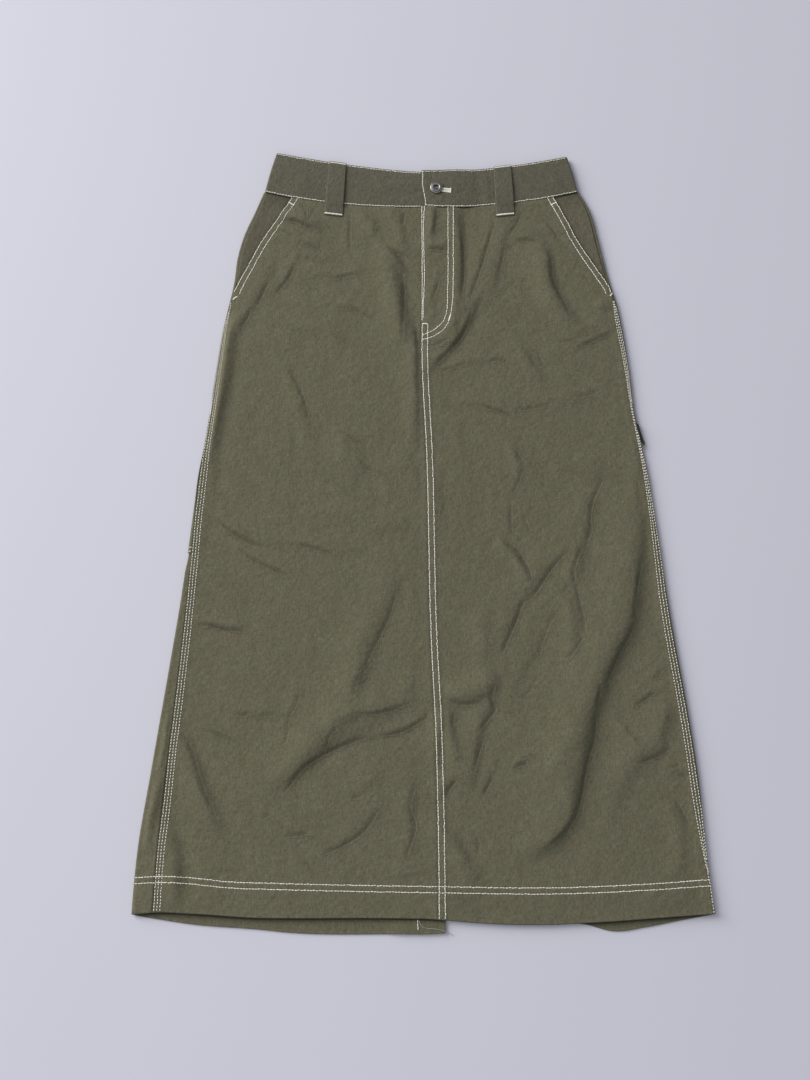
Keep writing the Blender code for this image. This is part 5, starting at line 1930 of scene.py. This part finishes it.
@dataclass
class Waistband:
    """The waistband's two halves, one end over the other at the front."""

    lie: Lie
    wall: float = 2.2
    under_end: float = 30.0
    over_end: float = 0.2
    end_slant: float = 3.4
    climb_steps: tuple[float, ...] = (
        0.0, 0.008, 0.022, 0.045, 0.08, 0.13, 0.2, 0.28, 0.37, 0.46, 0.55, 0.64, 0.73, 0.81, 0.87, 0.92,
        0.955, 0.978, 0.992, 1.0)

    def slant(self, climb: Array) -> Array:
        """How far the over end draws back, this far up the band."""
        return self.end_slant * (1 - step_up(climb, 0.1, 0.62))

    def surface(self, side: Side, x: Array, y: Array) -> Array:
        """Height of the band's upper face: crowned between its rows, with a few soft creases.

        Args:
            side: The wearer's side.
            x: Where to work it out.
            y: The same.

        Returns:
            The height.
        """
        lie = self.lie
        low, high = lie.band_bottom_y(side, x), lie.band_top_y(side, x)
        rise = np.sin(math.pi * np.clip((y - low) / (high - low), 0.0, 1.0))
        waves = 0.42 * lie.waves.at(x + 300.0, y, 26.0, 15.0) + 0.2 * lie.waves.at(x, y + 77.0, 9.0, 8.0)
        rows = 0.28 * (bell(y - low - 1.3, 1.0) + bell(y - high + 2.2, 1.0))
        crown = 0.5 * rise**0.8 + waves * rise
        return lie.band_height(side, x) + crown - rows + lie.folds(x, y, BAND_FALLS)

    def build(self, side: Side, wardrobe: Wardrobe) -> Piece:
        """Makes half of the band, from its front end round the side fold to the centre back.

        Args:
            side: The wearer's side.
            wardrobe: Where the cloth comes from.

        Returns:
            The piece.
        """
        lie = self.lie
        sign = side.value
        radius = (lie.band_top - lie.band_base) / 2
        climb = np.array(self.climb_steps)[:, None]
        bow = 0.8 * np.sin(math.pi * climb)
        edge = sign * (lie.waist_half + (lie.corner(side) - lie.waist_half) * climb + bow)
        fold, start = edge - sign * radius, self.under_end
        if side is Side.LEFT:
            start = self.over_end + self.slant(climb)
        share = np.unique(np.concatenate([np.linspace(0.0, 1.0, 110), np.linspace(0, 0.02, 6)]))
        top_x = start + (fold - start) * share
        angle = np.linspace(math.pi / 2, -math.pi / 2, 15)[1:-1]
        tall = lie.seam_rise * 2.2
        roll = 0.8 * edge_roll((1 - climb) * tall, 1.1) + 0.4 * edge_roll(climb * tall, 0.8)
        arc_x = edge - sign * (radius - (radius - roll) * np.cos(angle))
        under_x = fold + (lie.centre_back + sign * 0.1 - fold) * np.linspace(0.0, 1.0, 60)
        x = np.concatenate([top_x, arc_x, under_x], axis=1)
        on_top = np.arange(x.shape[1]) < len(share)
        low, high = (np.where(on_top, line(side, x), line(Side.RIGHT, x))
                     for line in (lie.band_bottom_y, lie.band_top_y))
        low = low - 0.1
        y = low + (high - low) * climb
        level = lie.band_height(side, top_x)
        settle = step_up(np.abs(edge - top_x), radius, radius + 14.0)
        top_z = level + (self.surface(side, top_x, y[:, on_top]) - level) * settle - roll
        arc_z = lie.band_base + radius + (radius - roll) * np.sin(angle)
        under_z = np.broadcast_to(lie.band_base + roll, under_x.shape)
        end_gap = np.abs(x - start)
        z = np.concatenate([top_z, arc_z, under_z], axis=1) - 0.8 * edge_roll(end_gap, 0.9) * on_top
        wear = 0.6 * bell(high - y, 2.0) + 0.35 * bell(y - low, 1.6) + 0.3 * bell(end_gap, 1.6) * on_top
        along = lengths_along(joined(x[9], z[9]))
        sheet = Sheet(joined(x, y, z), joined(along, y), wear)
        piece = cloth_object(f"{side.word}_waistband", sheet, self.wall, wardrobe.cloth(BAND_TWILL))
        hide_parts(f"waistband_{side.word}")
        return piece

    def run_on(self, side: Side, x: Array, y: Array, lift: float = 0.12, **sewing: object) -> Run:
        """A row on the band's upper face, this high over it."""
        return Run(joined(x, y, self.surface(side, x, y) + lift), UP, **sewing)

    def runs(self) -> list[Run]:
        """The rows along both edges of the band and beside its over end, and those on its back.

        Returns:
            The rows.
        """
        lie = self.lie
        runs = []
        for side in Side:
            start = self.over_end - 0.6 if side is Side.RIGHT else self.over_end + 1.2
            x = np.linspace(start, side.value * (lie.corner(side) - 1.5), 130)
            runs.append(self.run_on(side, x, lie.band_top_y(side, x) - 2.2, 0.32))
            x = np.linspace(start + (0.0 if side is Side.RIGHT else 3.2), side.value * 188.4, 130)
            runs.append(self.run_on(side, x, lie.band_bottom_y(side, x) + 1.3))
            x = np.linspace(side.value * 174.0, lie.centre_back + side.value, 110)
            for y in (lie.band_top_y(Side.RIGHT, x) - 1.6, lie.band_bottom_y(Side.RIGHT, x) + 1.4):
                runs.append(Run(joined(x, y, lie.band_base + 0.2), DOWN))
        share = np.linspace(0.97, 0.03, 30)
        low, high = lie.band_bottom_y(Side.LEFT, 1.0), lie.band_top_y(Side.LEFT, 1.0)
        x = self.over_end + 1.4 + self.slant(share)
        runs.append(self.run_on(Side.LEFT, x, low + (high - low) * share, -0.13))
        return runs


BACK_LOOPS = {"right": -128.0, "centre": -8.0, "left": 118.0}


@dataclass
class BeltLoops:
    """Two loops over the front of the band and three flat under its back."""

    lie: Lie
    width: float = 22.5
    wall: float = 1.3
    hang: float = 16.0
    bulge: float = 1.6

    def place(self, side: Side) -> tuple[float, float]:
        """x of a front loop's middle at its top and its bottom."""
        return (-101.6, -106.3) if side is Side.RIGHT else (98.6, 101.3)

    def inset(self, across: Array) -> Array:
        """How far in from a loop's nearer long edge, from the share across it."""
        return (0.5 - np.abs(across)) * self.width

    def surface(self, side: Side, climb: Array, across: Array) -> Array:
        """Points of a front loop: from its foot on the panel, over the band, to its top edge.

        Args:
            side: The wearer's side.
            climb: The share of the way up.
            across: The share of its width, from -0.5 to 0.5.

        Returns:
            The points on its outer face.
        """
        lie = self.lie
        top_x, bottom_x = self.place(side)
        x = bottom_x + (top_x - bottom_x) * climb + across * self.width * (1 - 0.06 * climb)
        seam = lie.band_bottom_y(side, x)
        bottom = seam - self.hang
        y = bottom + (lie.band_top_y(side, x) + 0.3 - bottom) * climb
        panel = lie.front(x, y)
        ground = panel + (lie.band_height(side, x) + 0.35 - panel) * step_up(y, seam - 5, seam - 1)
        crest = self.bulge * np.sin(math.pi * climb) ** 2
        crown = 0.25 * np.cos(math.pi * across) - 0.9 * edge_roll(self.inset(across), 0.9)
        press = 0.5 * (bell((1 - climb) * 60, 2.0) + bell(climb * 60 - 1.5, 2.2))
        return joined(x, y, ground + 0.3 + self.wall + crest + crown - press)

    def build_front(self, side: Side, wardrobe: Wardrobe) -> Piece:
        """Makes a front loop.

        Args:
            side: The wearer's side.
            wardrobe: Where the cloth comes from.

        Returns:
            The piece.
        """
        climb = np.linspace(0.0, 1.0, 64)[:, None]
        half = np.array([0.12, 0.25, 0.35, 0.42, 0.46, 0.485, 0.5])
        across = np.concatenate([-half[::-1], [0.0], half])
        wear = 0.6 * bell(self.inset(across), 1.5)
        sheet = Sheet(self.surface(side, climb, across), joined(across * self.width, climb * 66.0), wear)
        piece = cloth_object(f"{side.word}_front_loop", sheet, self.wall, wardrobe.cloth(BAND_TWILL))
        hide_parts(f"belt_loop_front_{side.word}")
        return piece

    def build_back(self, name: str, middle: float, wardrobe: Wardrobe) -> Piece:
        """Makes a back loop, flat between the band and the ground.

        Args:
            name: Which of the three.
            middle: x of its middle.
            wardrobe: Where the cloth comes from.

        Returns:
            The piece.
        """
        lie = self.lie
        climb = np.linspace(0.0, 1.0, 40)[:, None]
        across = np.linspace(-0.5, 0.5, 13)
        x = middle + across * self.width
        bottom = lie.band_bottom_y(Side.RIGHT, x) - self.hang
        y = bottom + (lie.band_top_y(Side.RIGHT, x) - 0.4 - bottom) * climb
        z = 0.7 * edge_roll(self.inset(across), 0.8)
        sheet = Sheet(joined(x, y, z), joined(x, y), 0.4 * bell(self.inset(across), 1.5))
        piece = cloth_object(f"{name}_back_loop", sheet, self.wall, wardrobe.cloth(BAND_TWILL), upward=False)
        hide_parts(f"belt_loop_back_{name}")
        return piece

    def runs(self) -> list[Run]:
        """The bar tacks at each end of each loop.

        Returns:
            The tacks.
        """
        lie = self.lie
        runs = []
        across = np.linspace(-0.47, 0.47, 12)
        for side in Side:
            for climb, width in ((0.028, 1.9), (0.975, 1.5)):
                points = self.surface(side, np.full(12, climb), across) + (0, 0, 0.15)
                runs.append(Run(points, UP, Thread.TACK, width))
        for middle in BACK_LOOPS.values():
            x = middle + across * self.width
            low, high = lie.band_bottom_y(Side.RIGHT, x), lie.band_top_y(Side.RIGHT, x)
            for y in (low - self.hang + 2.0, high - 2.4):
                runs.append(Run(joined(x, y, 0.25), DOWN, Thread.TACK, 1.8))
        return runs


@dataclass
class ToolPocket:
    """The long patch pocket on the wearer's right back, sewn into the side seam."""

    lie: Lie
    backs: Backs
    wall: float = 0.95
    width: float = 92.0

    def grid(self) -> tuple[Array, Array, Array]:
        """y, the distance round the fold and the point on the outer face: the panel's, moved out.

        Returns:
            y, the distance and the points.
        """
        lie = self.lie
        top, bottom = lie.tool_top, lie.tool_bottom
        middle = np.linspace(top - 2, bottom + 1.5, 60)
        y = np.concatenate([[top, top - 0.5], middle, [bottom + 0.5, bottom]])
        quarter = lie.fold_radius(Side.RIGHT, y) * math.pi / 2
        start = self.backs.seam_end(Side.RIGHT, y, 0.2)
        arc = start + (-quarter - start) * np.linspace(0.0, 1.0, 18)[:, None]
        under = -quarter - (self.width - quarter) * np.linspace(0.0, 1.0, 36)[1:, None]
        y, along = y[:, None], np.concatenate([arc, under], axis=0).T
        x, z = lie.wrap(Side.RIGHT, y, along)
        points = joined(x, y, z)
        return y, along, lifted(points + normals_of(points) * lie.tool_lift)

    def build(self, wardrobe: Wardrobe) -> Piece:
        """Makes the pocket.

        Args:
            wardrobe: Where the cloth comes from.

        Returns:
            The piece.
        """
        y, along, points = self.grid()
        wear = 0.5 * bell(y - self.lie.tool_bottom, 2.0) + 0.4 * bell(along, 2.5)
        sheet = Sheet(points, joined(-(FLAT_FOLD + along), y), wear)
        piece = cloth_object("patch_tool_pocket", sheet, self.wall, wardrobe.cloth(TWILL))
        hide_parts("tool_pocket")
        return piece

    def runs(self) -> list[Run]:
        """The double rows across the pocket's foot, round the fold, and along its other sides.

        Returns:
            The rows.
        """
        y, _, points = self.grid()
        normals = normals_of(points)
        top, bottom = self.lie.tool_top, self.lie.tool_bottom
        runs = []
        for target in (bottom + 1.8, bottom + 6.6, top - 14.0, top - 20.3):
            here = np.argmin(np.abs(y[:, 0] - target)), slice(0 if target < 0 else 19, None)
            line = lifted(points[here], THREAD_LIFT)
            line[:, 1] = target
            runs.append(Run(line + 0.05 * normals[here], normals[here]))
        for column in (-2, -5):
            runs.append(Run(lifted(points[2:-2, column], THREAD_LIFT), normals[2:-2, column]))
        return runs


@dataclass
class HammerLoop:
    """The strap on the wearer's left: out of the side seam, slack round the fold and under."""

    lie: Lie
    backs: Backs
    level: float = 100.0
    width: float = 26.0
    length: float = 130.0
    rise: float = 0.16
    slack: float = 6.0
    wall: float = 1.3

    def grid(self) -> tuple[Array, Array, Array]:
        """Shares across the strap, distances along it and the points on its outer face.

        The points are the panel's own, moved out, with slack round the fold.

        Returns:
            The shares, the distances and the points.
        """
        lie = self.lie
        quarter = float(lie.fold_radius(Side.LEFT, self.level) * math.pi / 2)
        start = float(self.backs.seam_end(Side.LEFT, self.level, 0.3))
        under = np.linspace(-quarter, -self.length, 60)[1:]
        along = np.concatenate([np.linspace(start, -quarter, 26), under])
        half = np.array([0.5, 0.48, 0.45, 0.38, 0.25, 0.1])
        across = np.concatenate([half, -half[::-1]])[:, None]
        y = self.level + across * self.width + self.rise * np.maximum(-along, 0)
        x, z = lie.wrap(Side.LEFT, y, np.broadcast_to(along, y.shape))
        points = joined(x, y, z)
        points = points + normals_of(points) * lie.hammer_lift
        bow = np.sin(math.pi * np.clip((start - along) / (start + 14), 0, 1))
        slack = self.slack * bow * np.clip((0.5 - across) / 0.86, 0.0, 1.0)
        points += joined(slack, 0.55 * slack * step_up(-across, 0.0, 0.5), -0.45 * slack)
        return across, along, lifted(points)

    def build(self, wardrobe: Wardrobe) -> Piece:
        """Makes the strap.

        Args:
            wardrobe: Where the cloth comes from.

        Returns:
            The piece.
        """
        across, along, points = self.grid()
        wear = 0.55 * bell((0.5 - np.abs(across)) * self.width, 1.6) + 0.3 * bell(along, 4.0)
        # Painted shade: the strap's part from the seam round the fold, which stands out past the edge, is
        # darkened, all but its lower edge.
        hollow = 0.85 * step_up(across, -0.44, -0.36) * (1 - step_up(-along, 2.0, 10.0))
        sheet = Sheet(points, joined(FLAT_FOLD + along, across * self.width), wear, {"hollow": hollow})
        piece = cloth_object("hammer_strap", sheet, self.wall, wardrobe.cloth(BAND_TWILL))
        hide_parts("hammer_loop")
        return piece

    def runs(self) -> list[Run]:
        """The rows along both edges and the tack at the strap's inner end.

        Returns:
            The rows.
        """
        points = self.grid()[2]
        normals = normals_of(points)
        runs = [Run(lifted(points[row, 32:], THREAD_LIFT), normals[row, 32:]) for row in (3, 8)]
        runs.append(Run(lifted(points[1:-1, -4], 0.25), normals[1:-1, -4], Thread.TACK, 1.8))
        return runs


@dataclass
class Button:
    """The turned metal button: a raised ring round a sunken middle.

    Its profile gives distance out and height, as shares of its radius and height, and wear.
    """

    lie: Lie
    x: float = 18.0
    y: float = 408.8
    radius: float = 7.75
    height: float = 2.8
    sides: int = 64
    top: float = 0.22
    profile: tuple[tuple[float, float, float], ...] = (
        (0.10, 0.22, 0.0), (0.16, 0.38, 0.5), (0.20, 0.40, 0.7), (0.25, 0.22, 0.0), (0.33, 0.24, 0.0),
        (0.38, 0.66, 0.1), (0.44, 0.90, 0.7), (0.50, 0.98, 1.0), (0.60, 1.0, 0.8), (0.70, 0.98, 0.8),
        (0.77, 0.92, 0.4), (0.81, 0.88, 0.1), (0.85, 0.90, 0.5), (0.90, 0.88, 0.9), (0.95, 0.78, 1.0),
        (0.99, 0.58, 0.8), (1.0, 0.40, 0.4), (0.98, 0.18, 0.1), (0.92, 0.03, 0.0), (0.84, 0.0, 0.0))

    def build(self, wardrobe: Wardrobe) -> Piece:
        """Makes the button as a profile turned round its own axis.

        Args:
            wardrobe: Where the metal comes from.

        Returns:
            The piece.
        """
        turn = np.linspace(0.0, 2 * math.pi, self.sides + 1)[:-1]
        out, up, wear = np.array(self.profile).T[..., None]
        base = float(self.lie.band_height(Side.LEFT, self.x)) + 0.55
        rings = joined(self.x + self.radius * out * np.cos(turn), self.y + self.radius * out * np.sin(turn),
                       base + self.height * up)
        ends = [(self.x, self.y, base + self.height * self.top), (self.x, self.y, base)]
        faces = tube_faces(len(self.profile), self.sides)
        mesh = new_mesh("jeans_button", np.concatenate([rings.reshape(-1, 3), ends]), faces)
        put_attribute(mesh, "wear", np.append(np.repeat(wear, self.sides), [0.0, 0.0]))
        piece = place_object("jeans_button", mesh, wardrobe.metal(BURNISHED))
        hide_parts("button")
        return piece

    def buttonhole(self, band: Waistband) -> list[Run]:
        """The stitched buttonhole that shows beside the button: two dense rows and an end bar.

        Args:
            band: The waistband that it is worked in.

        Returns:
            The rows.
        """
        x = np.linspace(24.4, 35.2, 14)
        y = 406.6 - 0.12 * (x - 25.0)
        runs = [band.run_on(Side.LEFT, x, y + drop, kind=Thread.TACK, width=2.9) for drop in (1.5, -1.5)]
        y = np.linspace(402.2, 408.6, 10)
        x = 35.6 - 0.1 * (408.6 - y)
        runs.append(band.run_on(Side.LEFT, x, y, 0.18, kind=Thread.TACK, width=1.7))
        return runs


@dataclass
class Sewing:
    """All the contrast thread, joined into one mesh for each part of the skirt."""

    seed: int = 11

    def build(self, name: str, runs: Sequence[Run], wardrobe: Wardrobe) -> Piece:
        """Sews rows into one joined mesh.

        Args:
            name: The piece's name.
            runs: The rows.
            wardrobe: Where the thread comes from.

        Returns:
            The piece.
        """
        rng = np.random.default_rng(self.seed + len(runs))
        points, faces, shades = zip(*(sewn(run, rng) for run in runs))
        first = np.cumsum([0, *(len(some) for some in points)])
        faces = [some + start for some, start in zip(faces, first)]
        mesh = new_mesh(name, np.concatenate(points), np.concatenate(faces))
        put_attribute(mesh, "shade", np.concatenate(shades))
        return place_object(name, mesh, wardrobe.thread(OFF_WHITE))

    def on_fronts(self, fronts: Fronts, rows: Rows) -> list[Run]:
        """The rows on the fronts, laid on the cloth's own surface, with the normals of its slope.

        Args:
            fronts: The fronts.
            rows: The lines of the rows.

        Returns:
            The rows.
        """
        runs = []
        for name, (line, kind) in rows.lines.items():
            side = Side.RIGHT if "right" in name else Side.LEFT
            length = lengths_along(line)[-1]
            x, y = resample(line, np.linspace(0.0, length, max(6, int(length / 2)))).T
            z = fronts.surface(side, x, y) + (0.3 if kind is Thread.TACK else 0.1)
            slope_x = (fronts.surface(side, x + 1, y) - fronts.surface(side, x - 1, y)) / 2
            slope_y = (fronts.surface(side, x, y + 1) - fronts.surface(side, x, y - 1)) / 2
            runs.append(Run(joined(x, y, z), unit(joined(-slope_x, -slope_y, 1.0)), kind))
        return runs


@dataclass
class LooseEnd:
    """The loose end of thread that hangs out of the vent's hem."""

    radius: float = 0.22
    rings: int = 60
    sides: int = 5
    path: tuple[tuple[float, float, float], ...] = (
        (-4.6, -443.0, 3.8), (-3.4, -446.4, 3.9), (0.4, -450.0, 3.8), (6.0, -451.2, 3.7),
        (12.0, -451.6, 3.7), (19.0, -452.6, 3.6), (23.4, -454.2, 3.2), (27.0, -456.0, 0.9),
        (30.0, -457.6, 0.4), (32.2, -459.4, 0.3))

    def build(self, wardrobe: Wardrobe) -> Piece:
        """Makes a thin tube along the thread's path: rings of points square to it.

        Args:
            wardrobe: Where the thread comes from.

        Returns:
            The piece.
        """
        knots = np.arange(float(len(self.path)))
        places = np.linspace(0.0, knots[-1], self.rings)
        path = joined(*(smooth(knots, column, places) for column in np.array(self.path).T))
        tangent = unit(np.gradient(path, axis=0))
        across = unit(np.cross(tangent, UP))[:, None]
        turn = np.linspace(0.0, 2 * math.pi, self.sides + 1)[:-1, None]
        square = np.cos(turn) * across + np.sin(turn) * np.cross(across, tangent[:, None])
        rings = path[:, None] + self.radius * square
        points = np.concatenate([rings.reshape(-1, 3), path[:1], path[-1:]])
        mesh = new_mesh("loose_thread_end", points, tube_faces(self.rings, self.sides))
        put_attribute(mesh, "shade", np.full(len(points), 0.5))
        return place_object("loose_thread_end", mesh, wardrobe.thread(LOOSE_THREAD))


@dataclass
class Studio:
    """The plain floor, the soft light and the camera."""

    camera_at: tuple[float, float, float] = (-0.0199, -0.2999, 1.3669)
    tilt: float = 11.414
    lens: float = 40.467
    floor_drop: float = 0.00035

    def camera(self) -> None:
        """Makes the camera: above the skirt, tipped a little towards the waist."""
        data = bpy.data.cameras.new("camera")
        data.lens = self.lens
        data.sensor_width = 36.0
        data.sensor_fit = "AUTO"
        data.clip_start, data.clip_end = 0.05, 50.0
        camera = in_scene("camera", data)
        camera.location = self.camera_at
        camera.rotation_euler = (math.radians(self.tilt), 0.0, 0.0)
        bpy.context.scene.camera = camera

    def light(self, name: str, place: tuple[float, float, float], size: float, power: float,
              colour: Colour) -> None:
        """Adds a square area light that looks at the skirt's middle.

        Args:
            name: Its name.
            place: Where it hangs, in metres.
            size: Its side.
            power: Its power in watts.
            colour: Its colour.
        """
        data = bpy.data.lights.new(name, "AREA")
        data.shape = "SQUARE"
        data.size = size
        data.energy = power
        data.color = colour
        lamp = in_scene(name, data)
        lamp.location = place
        aim = -unit(np.array(place))
        lamp.rotation_euler = (math.acos(-aim[2]), 0.0, math.atan2(aim[1], aim[0]) - math.pi / 2)

    def build(self, wardrobe: Wardrobe) -> None:
        """Lays the floor, hangs the lights and sets the even light from all round.

        Args:
            wardrobe: Where the floor's finish comes from.
        """
        half = 3.0
        corners = np.array([(-half, -half), (half, -half), (half, half), (-half, half)]) / MM
        points = np.concatenate([corners, np.full((4, 1), -self.floor_drop / MM)], axis=1)
        mesh = new_mesh("ground", points, np.array([[0, 1, 2, 3]]))
        mesh.materials.append(wardrobe.floor(PALE_FLOOR))
        floor = in_scene("ground", mesh)
        self.light("window", (-4.30, 2.49, 2.99), 4.2, 406.0, (1.0, 0.99, 0.975))
        self.light("fill", (-0.5, -1.7, 2.3), 2.4, 13.0, (0.97, 0.98, 1.0))
        world = bpy.data.worlds.new("room")
        world.use_nodes = True
        back = world.node_tree.nodes["Background"]
        back.inputs["Color"].default_value = (0.90, 0.93, 1.0, 1.0)
        back.inputs["Strength"].default_value = 0.32
        bpy.context.scene.world = world
        bpy.context.scene.view_settings.view_transform = "Standard"


def main() -> None:
    """Builds the studio and every piece of the skirt in order."""
    logging.basicConfig(level=logging.INFO, format="%(message)s")
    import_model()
    studio = Studio()
    studio.camera()
    wardrobe = Wardrobe()
    studio.build(wardrobe)

    lie = Lie()
    rows = Rows(lie)
    fronts = Fronts(lie, rows)
    backs = Backs(lie)
    band = Waistband(lie)
    loops = BeltLoops(lie)
    pockets = HipPockets(lie)
    tool_pocket = ToolPocket(lie, backs)
    hammer_loop = HammerLoop(lie, backs)
    button = Button(lie)
    sewing = Sewing()

    made = []
    for side in Side:
        made += [part.build(side, wardrobe) for part in (fronts, backs, pockets, band)]
        made.append(loops.build_front(side, wardrobe))
    made += [loops.build_back(name, middle, wardrobe) for name, middle in BACK_LOOPS.items()]
    made += [part.build(wardrobe) for part in (tool_pocket, hammer_loop, button)]
    sewn_parts = {
        "front_stitching": sewing.on_fronts(fronts, rows), "back_stitching": backs.runs(),
        "band_stitching": band.runs(), "loop_tacks": loops.runs(),
        "tool_pocket_stitching": tool_pocket.runs(), "strap_stitching": hammer_loop.runs(),
        "buttonhole": button.buttonhole(band)}
    made += [sewing.build(name, runs, wardrobe) for name, runs in sewn_parts.items()]
    made.append(LooseEnd().build(wardrobe))
    zip_strip = bpy.data.objects["fly_zip"]
    zip_strip.data.materials.clear()
    zip_strip.data.materials.append(wardrobe.cloth(ZIP_TAPE))
    for piece in made:
        LOG.info("%s: %d faces", piece.name, len(piece.data.polygons))


if __name__ == "__main__":
    main()
